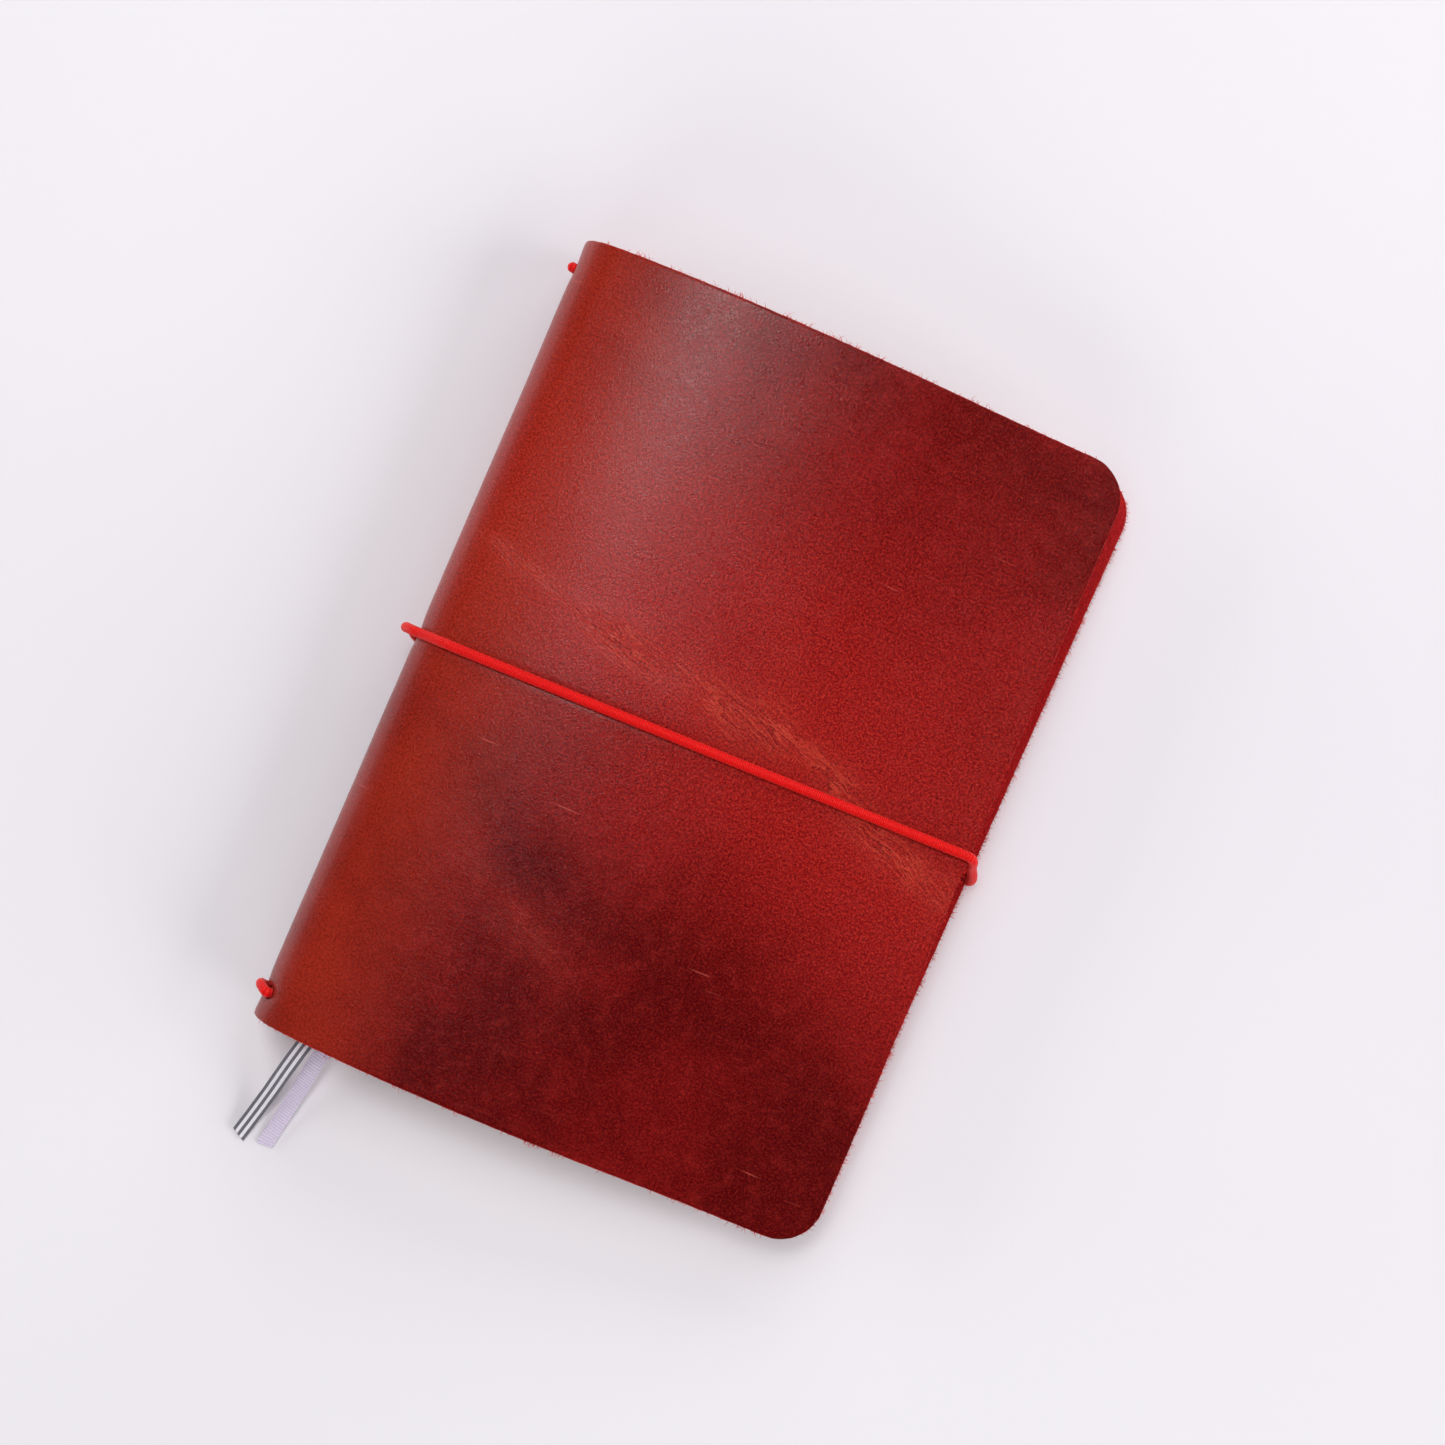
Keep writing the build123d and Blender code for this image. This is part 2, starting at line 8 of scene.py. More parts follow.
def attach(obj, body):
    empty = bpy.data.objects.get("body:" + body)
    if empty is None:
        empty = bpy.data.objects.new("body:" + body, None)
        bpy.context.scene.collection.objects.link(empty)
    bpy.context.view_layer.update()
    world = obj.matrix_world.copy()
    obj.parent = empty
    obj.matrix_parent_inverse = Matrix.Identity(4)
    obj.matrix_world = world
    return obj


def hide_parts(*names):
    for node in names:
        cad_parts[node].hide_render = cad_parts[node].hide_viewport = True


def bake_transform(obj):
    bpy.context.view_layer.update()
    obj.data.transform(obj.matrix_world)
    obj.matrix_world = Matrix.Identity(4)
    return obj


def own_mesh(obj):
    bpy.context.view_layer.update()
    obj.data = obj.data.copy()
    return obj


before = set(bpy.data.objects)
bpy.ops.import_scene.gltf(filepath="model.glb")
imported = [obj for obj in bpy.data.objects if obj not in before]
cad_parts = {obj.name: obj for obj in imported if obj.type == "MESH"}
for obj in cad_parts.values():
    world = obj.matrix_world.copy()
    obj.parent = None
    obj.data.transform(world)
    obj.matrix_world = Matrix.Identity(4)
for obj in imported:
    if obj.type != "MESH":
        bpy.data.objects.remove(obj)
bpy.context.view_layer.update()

MM = 0.001

# ---------------------------------------------------------------- sizes in millimetres
COVER_HEIGHT = 152.0
HALF = COVER_HEIGHT / 2
LEATHER = 1.8
ORIGIN_S = 55.25                 # s of the row's origin: s is measured from the spine's outermost line
SPINE_RADIUS = 9.5
BACK_REACH_HEAD = 111.4
BACK_REACH_TAIL = 109.6
CORNER = 8.0
FRONT_SHORT = 0.95               # by which the front leaf ends earlier from the middle to the head
# The outer face from the back leaf round to the front leaf: radius, last heading, 1 right or -1 left.
TURNS = [(SPINE_RADIUS, 15.0, 1), (103.0, 0.0, 1), (205.0, -11.0, 1), (260.0, -3.0, -1)]
HINGE_HEADINGS = [150.0, 105.0, 66.0, 15.0]
HOLE_Y = 71.0
HOLE_ANGLES = {"front": 146.0, "middle": 180.0, "back": 218.0}
CORD = 1.9
PAGE_HEIGHT = 139.0
BOOKLET_WIDTH = 89.0
CARD = 0.35
BACK_BOOKLET = dict(fold=(9.8, 5.2), radius=3.2, low=2.0, high=5.7)
MIDDLE_BOOKLET = dict(fold=(7.2, 11.5), radius=2.6, low=5.9, high=9.4)
FRONT_BOOKLET = dict(fold=(12.0, 16.05), radius=1.8, low=9.6, high=22.0)
PARTING_EDGE_Z = 8.4
HALF_LIFT = 0.5


# ---------------------------------------------------------------- noise
def lattice(seed):
    return np.random.RandomState(seed).rand(256, 256)


def noise(x, y, scale, seed):
    """Smooth value noise from -1 to 1 with features about scale across."""
    table = lattice(seed)
    x, y = np.asarray(x) / scale + 40.5, np.asarray(y) / scale + 40.5
    xi, yi = np.floor(x).astype(int), np.floor(y).astype(int)
    fx, fy = x - xi, y - yi
    fx, fy = fx * fx * (3 - 2 * fx), fy * fy * (3 - 2 * fy)
    here = table[xi % 256, yi % 256] * (1 - fx) + table[(xi + 1) % 256, yi % 256] * fx
    above = table[xi % 256, (yi + 1) % 256] * (1 - fx) + table[(xi + 1) % 256, (yi + 1) % 256] * fx
    return 2 * (here * (1 - fy) + above * fy) - 1


def fractal(x, y, scale, seed, octaves=4):
    """Noise with finer and weaker octaves added."""
    total, size, weight = 0.0, scale, 1.0
    for number in range(octaves):
        total = total + weight * noise(x, y, size, seed + number)
        size, weight = size * 0.5, weight * 0.55
    return total / 1.8


def step(low, high, value):
    t = np.clip((value - low) / (high - low), 0, 1)
    return t * t * (3 - 2 * t)


# ---------------------------------------------------------------- mesh building
def mesh_object(name, points, faces, smooth=True):
    """An object from points in millimetres."""
    mesh = bpy.data.meshes.new(name)
    mesh.from_pydata((np.asarray(points) * MM).tolist(), [], [tuple(f) for f in faces])
    mesh.update()
    mesh.polygons.foreach_set("use_smooth", [smooth] * len(mesh.polygons))
    obj = bpy.data.objects.new(name, mesh)
    bpy.context.scene.collection.objects.link(obj)
    return obj


def grid_faces(rows, columns, start=0, flip=False):
    """Quads of a grid stored row by row."""
    r, c = np.meshgrid(np.arange(rows - 1), np.arange(columns - 1), indexing="ij")
    first = (start + r * columns + c).ravel()
    quads = np.stack([first, first + 1, first + columns + 1, first + columns], axis=1)
    return quads[:, ::-1] if flip else quads


def run_along(points):
    """Distance along a line of points, from its first."""
    steps = np.linalg.norm(np.diff(points, axis=0), axis=1)
    return np.concatenate([[0], np.cumsum(steps)])


def point_values(mesh, name, values):
    """A named value at every point of a mesh, for its material."""
    layer = mesh.attributes.new(name, "FLOAT", "POINT")
    layer.data.foreach_set("value", np.asarray(values, np.float32))


def tube_points(path, radius, sides, up=(0, 0, 1)):
    """Rings round a path; radius may vary with place and angle."""
    path = np.asarray(path, float)
    tangents = np.gradient(path, axis=0)
    tangents /= np.linalg.norm(tangents, axis=1)[:, None]
    side = np.cross(tangents[0], up)
    if np.linalg.norm(side) < 1e-3:
        side = np.cross(tangents[0], (1, 0, 0))
    side /= np.linalg.norm(side)
    turn = np.linspace(0, 2 * math.pi, sides, endpoint=False)
    rings = []
    for number, (place, tangent) in enumerate(zip(path, tangents)):
        side = side - tangent * np.dot(side, tangent)
        side /= np.linalg.norm(side)
        other = np.cross(tangent, side)
        r = radius(number, turn)
        rings.append(place + np.outer(np.cos(turn) * r, side) + np.outer(np.sin(turn) * r, other))
    return np.array(rings)


def tube_object(name, rings):
    """A closed tube with capped ends; its attribute run is the length along it."""
    count, sides = rings.shape[:2]
    points = rings.reshape(-1, 3)
    faces = []
    for i in range(count - 1):
        for j in range(sides):
            k = (j + 1) % sides
            faces.append((i * sides + k, (i + 1) * sides + k, (i + 1) * sides + j, i * sides + j))
    faces.append(tuple(reversed(range(sides))))
    faces.append(tuple(range((count - 1) * sides, count * sides)))
    obj = mesh_object(name, points, faces)
    middle = rings.mean(axis=1)
    run = run_along(middle)
    point_values(obj.data, "run", np.repeat(run, sides))
    return obj


def resample(points, spacing):
    """Points evenly along a smooth curve through the given ones."""
    points = np.asarray(points, float)
    padded = np.vstack([2 * points[0] - points[1], points, 2 * points[-1] - points[-2]])
    fine = []
    for i in range(1, len(padded) - 2):
        p0, p1, p2, p3 = padded[i - 1:i + 3]
        for t in np.linspace(0, 1, 24, endpoint=False):
            fine.append(0.5 * (2 * p1 + (p2 - p0) * t + (2 * p0 - 5 * p1 + 4 * p2 - p3) * t ** 2
                               + (3 * p1 - p0 - 3 * p2 + p3) * t ** 3))
    fine = np.array(fine + [padded[-2]])
    run = run_along(fine)
    at = np.linspace(0, run[-1], max(4, int(run[-1] / spacing)))
    return np.stack([np.interp(at, run, fine[:, k]) for k in range(3)], axis=1)


# ---------------------------------------------------------------- the leather's path
def leather_table(spacing=0.05):
    """Arc length, s, z and heading along the outer face, with a straight run past each end."""
    spare = 4.0
    s, z, heading = [BACK_REACH_HEAD + spare, SPINE_RADIUS], [0.0, 0.0], [180.0, 180.0]
    arc = [-spare, BACK_REACH_HEAD - SPINE_RADIUS]
    for radius, last, side in TURNS:
        first = heading[-1]
        centre_angle = math.radians(first - 90 * side)
        centre = s[-1] + radius * math.cos(centre_angle), z[-1] + radius * math.sin(centre_angle)
        length = radius * math.radians(abs(last - first))
        begin = arc[-1]
        for t in np.linspace(0, 1, max(3, int(length / spacing)))[1:]:
            h = first + (last - first) * t
            out = math.radians(h + 90 * side)
            s.append(centre[0] + radius * math.cos(out))
            z.append(centre[1] + radius * math.sin(out))
            heading.append(h)
            arc.append(begin + length * t)
    total = arc[-1]
    end = math.radians(heading[-1])
    s.append(s[-1] + spare * math.cos(end))
    z.append(z[-1] + spare * math.sin(end))
    heading.append(heading[-1])
    arc.append(total + spare)
    return np.array(arc), np.array(s), np.array(z), np.array(heading), total


ARC, ARC_S, ARC_Z, ARC_HEADING, ARC_END = leather_table()
BACK_FLAT = BACK_REACH_HEAD - SPINE_RADIUS


def arc_of_heading(heading):
    """Arc length where the spine has this heading."""
    return BACK_FLAT + SPINE_RADIUS * math.radians(180 - heading)


def arc_of_s(s):
    """Arc length on the front leaf at s."""
    upper = ARC > arc_of_heading(90.0)
    return np.interp(s, ARC_S[upper], ARC[upper])


def on_leather(arc, y, lift):
    """Points (x, y, z) at a height over the outer face."""
    heading = np.radians(np.interp(arc, ARC, ARC_HEADING) + 90)
    s = np.interp(arc, ARC, ARC_S) + lift * np.cos(heading)
    z = np.interp(arc, ARC, ARC_Z) + lift * np.sin(heading)
    return np.stack(np.broadcast_arrays(s - ORIGIN_S, y, z), axis=-1)


def at(s, z, y=0.0):
    return (s - ORIGIN_S, y, z)


# The front strand is tied off inside at the head, so there is no hole for it there.
HOLES = [(arc_of_heading(HOLE_ANGLES[name] - 90), y)
         for name, y in (("front", -HOLE_Y), ("middle", -HOLE_Y), ("back", -HOLE_Y),
                         ("middle", HOLE_Y), ("back", HOLE_Y))]
SLOT_ARC = arc_of_heading(90.0)
SLOT_Y = (-3.1, -0.9)          # the closing cord under the back leaf and over the front
EXIT_Y = -1.1                  # where both its ends leave the spine


# ---------------------------------------------------------------- closing cord's route
def closure_y(arc):
    """The cord crosses the front slightly aslant."""
    return -1.1 + 2.3 * np.clip((arc - SLOT_ARC) / (ARC_END - SLOT_ARC), 0, 1)


def belt(x, y, start, end, width):
    """Closeness to a slanting band, and places along and across it."""
    d = np.array(end, float) - np.array(start, float)
    length = np.linalg.norm(d)
    d /= length
    along = (x - start[0]) * d[0] + (y - start[1]) * d[1]
    across = -(x - start[0]) * d[1] + (y - start[1]) * d[0]
    sway = 2.2 * noise(along, along * 0 + 3.0, 14.0, 71)
    ends = step(-9, 6, along) * step(-9, 6, length - along)
    return np.exp(-((across - sway) / width) ** 2) * ends, along, across


# Bands of loose grain on the front leaf, as (x, y) ends and a half-width, strongest first.
BELTS = [((-28.0, 14.5), (10.0, 5.5), 4.6, 1.0), ((6.0, 11.0), (54.0, -9.5), 4.2, 1.0),
         ((-53.0, 21.0), (-30.0, 14.0), 2.6, 0.7), ((-31.0, -33.0), (-6.0, -47.0), 4.5, 0.45),
         ((3.0, 30.0), (12.0, 12.0), 4.0, 0.35)]


# ---------------------------------------------------------------- leather
def leather_relief(arc, y):
    """Height over the outer face, how creased, dark and warm the leather is there, and where the holes'
    painted shade lies.
    """
    s = np.interp(arc, ARC, ARC_S)
    x = s - ORIGIN_S
    on_front = step(arc_of_heading(60.0), arc_of_heading(20.0), arc)
    height = 0.10 * noise(arc, y, 31.0, 5) + 0.05 * noise(arc, y, 13.0, 6)
    crease = 0.0
    for number, (start, end, width, strength) in enumerate(BELTS):
        near, along, across = belt(x, y, start, end, width)
        near = near * strength * on_front
        crease = crease + near * (0.75 + 0.25 * noise(along, across, 6.0, 31 + number))
        height = height + 0.10 * near * noise(along * 0.5, across, 3.4, 41 + number)
    # Darker away from the loose band: slowly towards the head, quickly towards the tail.
    away = y + 0.3 * x - 6.0
    reach = np.where(away > 0, away / 92.0, -away / 46.0) + 0.15 * fractal(arc, y, 24.0, 81, 4)
    dark = step(0.0, 1.0, reach)
    warm = (1 - step(8.0, 33.0, s)) * step(arc_of_heading(120.0), arc_of_heading(70.0), arc)
    # The closing cord presses in, and the leather dips round each hole.
    cord = np.exp(-((y - closure_y(arc)) / 1.0) ** 2) * step(SLOT_ARC, SLOT_ARC + 6, arc)
    height = height - 0.16 * cord
    under = (1 - step(0.75, 1.45, np.abs(y - SLOT_Y[0]))) * (1 - step(BACK_FLAT + 2, BACK_FLAT + 8, arc))
    height = height - 1.2 * under
    # hole: painted shade for each cord hole's opening, full in the pit and fading out by about 1.9 mm from
    # its middle; the closing cord's exit gets the same.
    hole = np.zeros(np.broadcast(arc, y).shape)
    for hole_arc, hole_y in HOLES:
        away = np.hypot(arc - hole_arc, y - hole_y)
        height = height - 0.35 * np.exp(-(away / 2.6) ** 2) - 1.1 * (1 - step(0.85, 1.2, away))
        hole = np.maximum(hole, 1 - step(0.9, 1.9, away))
    away = np.hypot((arc - SLOT_ARC) / 1.7, y - EXIT_Y)
    height = height - 0.3 * np.exp(-(away / 2.4) ** 2) - 1.1 * (1 - step(0.95, 1.25, away))
    hole = np.maximum(hole, 1 - step(0.9, 1.8, away))
    # The resting face stays over the surface it lies on.
    resting = 1 - step(BACK_FLAT - 6, BACK_FLAT + 1, arc)
    height = np.where(resting > 0, height - resting * 0.17, height)
    return height, np.clip(crease, 0, 1), dark, warm, hole


def spaced(low, high, coarse, fine_places):
    """Values from low to high, closer together round each (place, reach, spacing)."""
    values, here = [low], low
    while here < high - 1e-9:
        gap = coarse
        for place, reach, spacing in fine_places:
            if abs(here - place) < reach:
                gap = min(gap, spacing)
        here = min(here + gap, high)
        values.append(here)
    return np.array(values)


def outline_warp(arc, y):
    """Arc length moved so that the sheet has its real outline, with round fore-edge corners."""
    beyond = np.clip(np.abs(y) - (HALF - CORNER), 0, CORNER)
    corner = CORNER - np.sqrt(np.maximum(CORNER ** 2 - beyond ** 2, 0))
    askew = (BACK_REACH_HEAD - BACK_REACH_TAIL) * (HALF - y) / COVER_HEIGHT
    reach = 34.0
    from_back = np.clip(1 - arc / reach, 0, 1) ** 2
    from_front = np.clip(1 - (ARC_END - arc) / reach, 0, 1) ** 2
    short = FRONT_SHORT * step(-50.0, 2.0, y)
    return arc + (corner + askew) * from_back - (corner + short) * from_front


SEAM_HEADINGS = [(a + b) / 2 for a, b in zip(HINGE_HEADINGS, HINGE_HEADINGS[1:])]
SEAMS = [arc_of_heading(h) for h in SEAM_HEADINGS]
CUTS = [0.0] + SEAMS + [ARC_END]
LEATHER_NODES = [
    ["back_cover_leaf"], ["spine_strip_1"], ["spine_strip_2"], ["spine_strip_3", "front_cover_leaf"],
]
LEATHER_NAMES = ["leather_back", "leather_spine_lower", "leather_spine_upper", "leather_front"]
SHEET_ARCS = np.unique(np.round(np.concatenate([
    spaced(0.0, BACK_FLAT, 1.3, [(0.0, 1.0, 0.16), (0.0, 2.5, 0.5)]),
    spaced(BACK_FLAT, ARC_END, 0.6,
           [(h[0], 3.0, 0.24) for h in HOLES] + [(SLOT_ARC, 3.0, 0.24), (ARC_END, 1.0, 0.16)]),
    SEAMS, np.array(SEAMS) - 0.02, np.array(SEAMS) + 0.02]), 5))
SHEET_YS = spaced(-HALF, HALF, 0.62, [(-HALF, 0.8, 0.16), (HALF, 0.8, 0.16), (-HOLE_Y, 2.6, 0.25),
                                      (HOLE_Y, 2.6, 0.25), (-1.5, 4.6, 0.3)])
RIM_DEPTHS = [0.12, 0.5, 0.95, 1.4, 1.72]


def seam_normals(arc, y, lift):
    """Unit normals of the whole sheet's surface, so that no seam shows."""
    gap = 0.12

    def surface(da, dy):
        a, b = arc + da, y + dy
        return on_leather(a, b, leather_relief(a, b)[0] if lift is None else lift)

    normal = np.cross(surface(gap, 0) - surface(-gap, 0), surface(0, gap) - surface(0, -gap))
    normal *= 1 if lift is None else -1
    return normal / np.linalg.norm(normal, axis=1)[:, None]


def leather_piece(number):
    """A stretch of the cover between two seams: grain side, flesh side and cut edges."""
    arcs = SHEET_ARCS[(SHEET_ARCS >= CUTS[number] - 1e-6) & (SHEET_ARCS <= CUTS[number + 1] + 1e-6)]
    grid_arc, grid_y = np.meshgrid(arcs, SHEET_YS, indexing="ij")
    real_arc = outline_warp(grid_arc, grid_y)
    relief, crease, dark, warm, hole = leather_relief(real_arc, grid_y)
    # Burnished edges round off a little on the grain side.
    edge = np.minimum(HALF - np.abs(grid_y), np.minimum(grid_arc, ARC_END - grid_arc))
    relief = relief - 0.12 * np.exp(-(edge / 0.3) ** 2)
    rough = 0.05 * fractal(real_arc, grid_y, 1.6, 91, 2) + 0.03 * noise(real_arc, grid_y, 0.7, 95)
    outer = on_leather(real_arc, grid_y, relief)
    inner = on_leather(real_arc, grid_y, -LEATHER + np.minimum(rough, 0.09))
    rows, columns = grid_arc.shape
    points = [outer.reshape(-1, 3), inner.reshape(-1, 3)]
    faces = [grid_faces(rows, columns, 0), grid_faces(rows, columns, rows * columns, flip=True)]
    # Along every edge the grain side's flesh value rises to 0.32 in a thin line, which paints the bevel's
    # highlight in the brighter cut-edge colour.
    flesh = [0.32 * np.exp(-(edge / 0.2) ** 2).ravel(), np.ones(rows * columns)]
    extras = [np.stack([crease, dark, warm, hole], axis=-1).reshape(-1, 4), np.zeros((rows * columns, 4))]
    uvs = [np.stack([real_arc, grid_y], axis=-1).reshape(-1, 2)] * 2

    index = np.arange(rows * columns).reshape(rows, columns)
    borders = []
    if number == 0:
        borders.append((index[0, :], np.tile([-1.0, 0.0], (columns, 1)), False))
    if number == len(CUTS) - 2:
        borders.append((index[-1, :], np.tile([1.0, 0.0], (columns, 1)), True))
    borders.append((index[:, 0], np.tile([0.0, -1.0], (rows, 1)), True))
    borders.append((index[:, -1], np.tile([0.0, 1.0], (rows, 1)), False))
    flat_arc, flat_y = real_arc.ravel(), grid_y.ravel()
    start = 2 * rows * columns
    for line, outward, flip in borders:
        arc, y = flat_arc[line], flat_y[line]
        # Round a corner, the cut faces along the outline's normal.
        along = np.gradient(np.stack([arc, y], axis=-1), axis=0)
        normal = np.stack([along[:, 1], -along[:, 0]], axis=-1)
        facing = np.sum(normal * outward, axis=1)[:, None]
        normal *= np.sign(facing) + (facing == 0)
        normal /= np.linalg.norm(normal, axis=1)[:, None] + 1e-9
        run = run_along(np.stack([arc, y], -1))
        rings = [line]
        for depth in RIM_DEPTHS:
            bulge = 0.10 * math.sin(math.pi * depth / LEATHER)
            bulge = bulge + 0.05 * noise(run, run * 0 + depth * 3, 0.9, 99)
            bulge = bulge + 0.09 * (depth / LEATHER) * noise(run, run * 0 + depth, 0.5, 97)
            ends = np.ones(len(line))
            ends[[0, -1]] = 0.0
            move = normal * (bulge * ends)[:, None]
            ring = on_leather(arc + move[:, 0], y + move[:, 1], -depth)
            points.append(ring)
            flesh.append(np.full(len(line), 0.35 + 0.5 * depth / LEATHER))
            extras.append(np.zeros((len(line), 4)))
            uvs.append(np.stack([arc + normal[:, 0] * depth, y + normal[:, 1] * depth], axis=-1))
            rings.append(np.arange(start, start + len(line)))
            start += len(line)
        rings.append(line + rows * columns)
        for upper, lower in zip(rings, rings[1:]):
            quads = np.stack([upper[:-1], lower[:-1], lower[1:], upper[1:]], axis=1)
            faces.append(quads[:, ::-1] if flip else quads)
    obj = mesh_object(LEATHER_NAMES[number], np.vstack(points), np.vstack(faces)[:, ::-1].tolist())
    mesh = obj.data
    for name, values in zip(("crease", "dark", "warm", "hole"), np.vstack(extras).T):
        mesh.attributes.new(name, "FLOAT", "POINT").data.foreach_set("value", values.astype(np.float32))
    point_values(mesh, "flesh", np.concatenate(flesh))
    normals = np.zeros((len(mesh.vertices), 3))
    for row, seam in ((0, number > 0), (-1, number < len(CUTS) - 2)):
        if seam:
            normals[index[row]] = seam_normals(real_arc[row], grid_y[row], None)
            normals[index[row] + rows * columns] = seam_normals(real_arc[row], grid_y[row], -LEATHER)
    mesh.normals_split_custom_set_from_vertices(normals.tolist())
    uv = mesh.uv_layers.new(name="sheet")
    corners = np.empty(len(mesh.loops), int)
    mesh.loops.foreach_get("vertex_index", corners)
    uv.data.foreach_set("uv", (np.vstack(uvs)[corners] / 100).astype(np.float32).ravel())
    return obj


def edge_fibres(number, seed):
    """Loose suede fibres that stand out of the cut edges."""
    random = np.random.RandomState(seed)
    first, last = CUTS[number], CUTS[number + 1]
    points, faces = [], []

    def fibre(arc, y, out_arc, out_y, depth, growth=1.0):
        length = random.uniform(0.25, 0.85) * growth * (1.5 if random.rand() < 0.12 else 1)
        drift = random.uniform(-0.9, 0.9)
        lift = random.uniform(-0.5, 0.25)
        thick = random.uniform(0.04, 0.09)
        start = len(points)
        for t in (0.0, 0.5, 1.0):
            a = arc + (out_arc + drift * abs(out_y) * t) * length * t
            b = y + (out_y + drift * abs(out_arc) * t) * length * t
            place = on_leather(np.array(a), np.array(b), -depth + lift * length * t * t)
            place[2] = max(place[2], 0.08)
            w = thick * (1 - 0.7 * t)
            for k in range(3):
                angle = 2 * math.pi * k / 3
                flat = w * math.cos(angle)
                points.append(place + np.array([flat * abs(out_y), flat * abs(out_arc), w * math.sin(angle)]))
        for ring in (0, 3):
            for k in range(3):
                m = (k + 1) % 3
                faces.append((start + ring + k, start + ring + m, start + ring + 3 + m, start + ring + 3 + k))
        faces.append((start + 6, start + 7, start + 8))
        faces.append((start + 2, start + 1, start))

    length = last - first
    for side in (-1.0, 1.0):
        for arc in random.uniform(first, last, int(length * 4.5)):
            clump = 0.5 + 0.5 * noise(arc, side * 7.0, 2.6, 15)
            if random.rand() > 0.12 + 1.1 * clump ** 2 or arc < CORNER or arc > ARC_END - CORNER:
                continue
            fibre(arc, side * (HALF - 0.03), 0.0, side, random.uniform(0.4, LEATHER - 0.1), 0.5 + clump)
    if number in (0, len(CUTS) - 2):
        back = number == 0
        for y in random.uniform(-HALF + 1, HALF - 1, 760 if back else 480):
            arc = outline_warp(np.array(0.0 if back else ARC_END), np.array(y)).item()
            fibre(arc + (0.03 if back else -0.03), y, -1.0 if back else 1.0, 0.0,
                  random.uniform(0.5, LEATHER - 0.1))
    obj = mesh_object(LEATHER_NAMES[number] + "_fibres", np.array(points), faces)
    return obj


def bend_with_leather(obj, number):
    """Bakes the piece's placement into its mesh; the hinge line's ends round the piece's middle are worked
    out but not used.
    """
    hinge = arc_of_heading(HINGE_HEADINGS[number])
    before = min(4.0, hinge - CUTS[number] - 0.3)
    after = min(4.0, CUTS[number + 1] - hinge - 0.3)
    start = on_leather(np.array(hinge - before), 0.0, -LEATHER / 2) * MM
    end = on_leather(np.array(hinge + after), 0.0, -LEATHER / 2) * MM
    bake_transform(obj)


# ---------------------------------------------------------------- elastic cord
def braid(radius, pitch=2.4, strands=12, depth=0.03):
    """A cord's radius at each ring and angle, with two crossing families of strands."""
    def at_ring(number, turn, spacing=0.22):
        run = number * spacing * 2 * math.pi / pitch
        one = np.cos(strands / 2 * turn + run * 2)
        two = np.cos(strands / 2 * turn - run * 2)
        return radius - depth + depth * np.maximum(one, two)
    return at_ring


def elastic(name, route, radius=CORD / 2, spacing=0.22, sides=18):
    path = resample(route, spacing)
    return tube_object(name, tube_points(path, braid(radius), sides))


def closure_route():
    """The closing cord's centre line: out of the spine, over the front and back underneath."""
    lift = CORD / 2 - 0.16
    route = [at(3.2, 10.4, EXIT_Y), at(0.9, 10.4, EXIT_Y), at(-1.0, 10.6, EXIT_Y)]
    route += [at(-2.0, 11.7, EXIT_Y + 0.05), at(-1.55, 13.3, EXIT_Y + 0.1), at(-0.1, 15.4, EXIT_Y + 0.1)]
    arcs = np.linspace(arc_of_heading(47.0), ARC_END - 1.9, 22)
    route += [tuple(on_leather(np.array(a), closure_y(a), lift)) for a in arcs]
    # Taut from the front leaf's edge out to the back leaf's edge.
    edge = (BACK_REACH_HEAD + BACK_REACH_TAIL) / 2
    front_s = np.interp(ARC_END - 0.95, ARC, ARC_S)
    front_z = np.interp(ARC_END - 0.95, ARC, ARC_Z)
    route += [at(front_s + 0.35, front_z + 0.3, 1.0), at(front_s + 1.0, front_z - 1.0, 0.5)]
    route += [at(edge - 1.0, 9.0, -0.5), at(edge + 0.1, 5.6, -1.7)]
    route += [at(edge + 0.65, 3.0, -2.6), at(edge + 0.5, 1.2, SLOT_Y[0])]
    route += [at(edge - 0.7, 0.80, SLOT_Y[0]), at(edge - 3.5, 0.83, SLOT_Y[0])]
    route += [at(s, 0.83, SLOT_Y[0]) for s in np.linspace(edge - 14, 22, 9)]
    route += [at(13.5, 0.80, SLOT_Y[0]), at(8.6, 0.30, SLOT_Y[0]), at(4.2, 1.2, SLOT_Y[0])]
    route += [at(1.0, 3.9, SLOT_Y[0] + 0.5), at(-0.75, 6.4, EXIT_Y - 0.7), at(-0.9, 7.9, EXIT_Y - 0.1)]
    route += [at(0.9, 8.5, EXIT_Y), at(3.2, 8.5, EXIT_Y)]
    return route


def closure_elastic():
    path = resample(closure_route(), 0.22)
    rings = tube_points(path, braid(CORD / 2), 18)
    # Pressed flat into its groove, the cord never reaches under the resting face.
    rings[..., 2] = np.maximum(rings[..., 2], 0.03)
    return tube_object("closing_elastic", rings)


def knot(name, centre, size, seed):
    """An overhand knot: cord wound round itself as one closed loop."""
    random = np.random.RandomState(seed)
    t = np.linspace(0, 2 * math.pi, 60)
    wobble = random.uniform(-0.05, 0.05, 3)
    x = np.sin(t) + 2 * np.sin(2 * t)
    y = np.cos(t) - 2 * np.cos(2 * t)
    z = -np.sin(3 * t)
    route = np.stack([z * size[0] * 0.5, x * size[1] / 3.2, y * size[2] / 3.2], axis=-1) + wobble
    path = resample(route + np.array(centre), 0.2)
    return tube_object(name, tube_points(path, braid(min(size) * 0.42), 14))


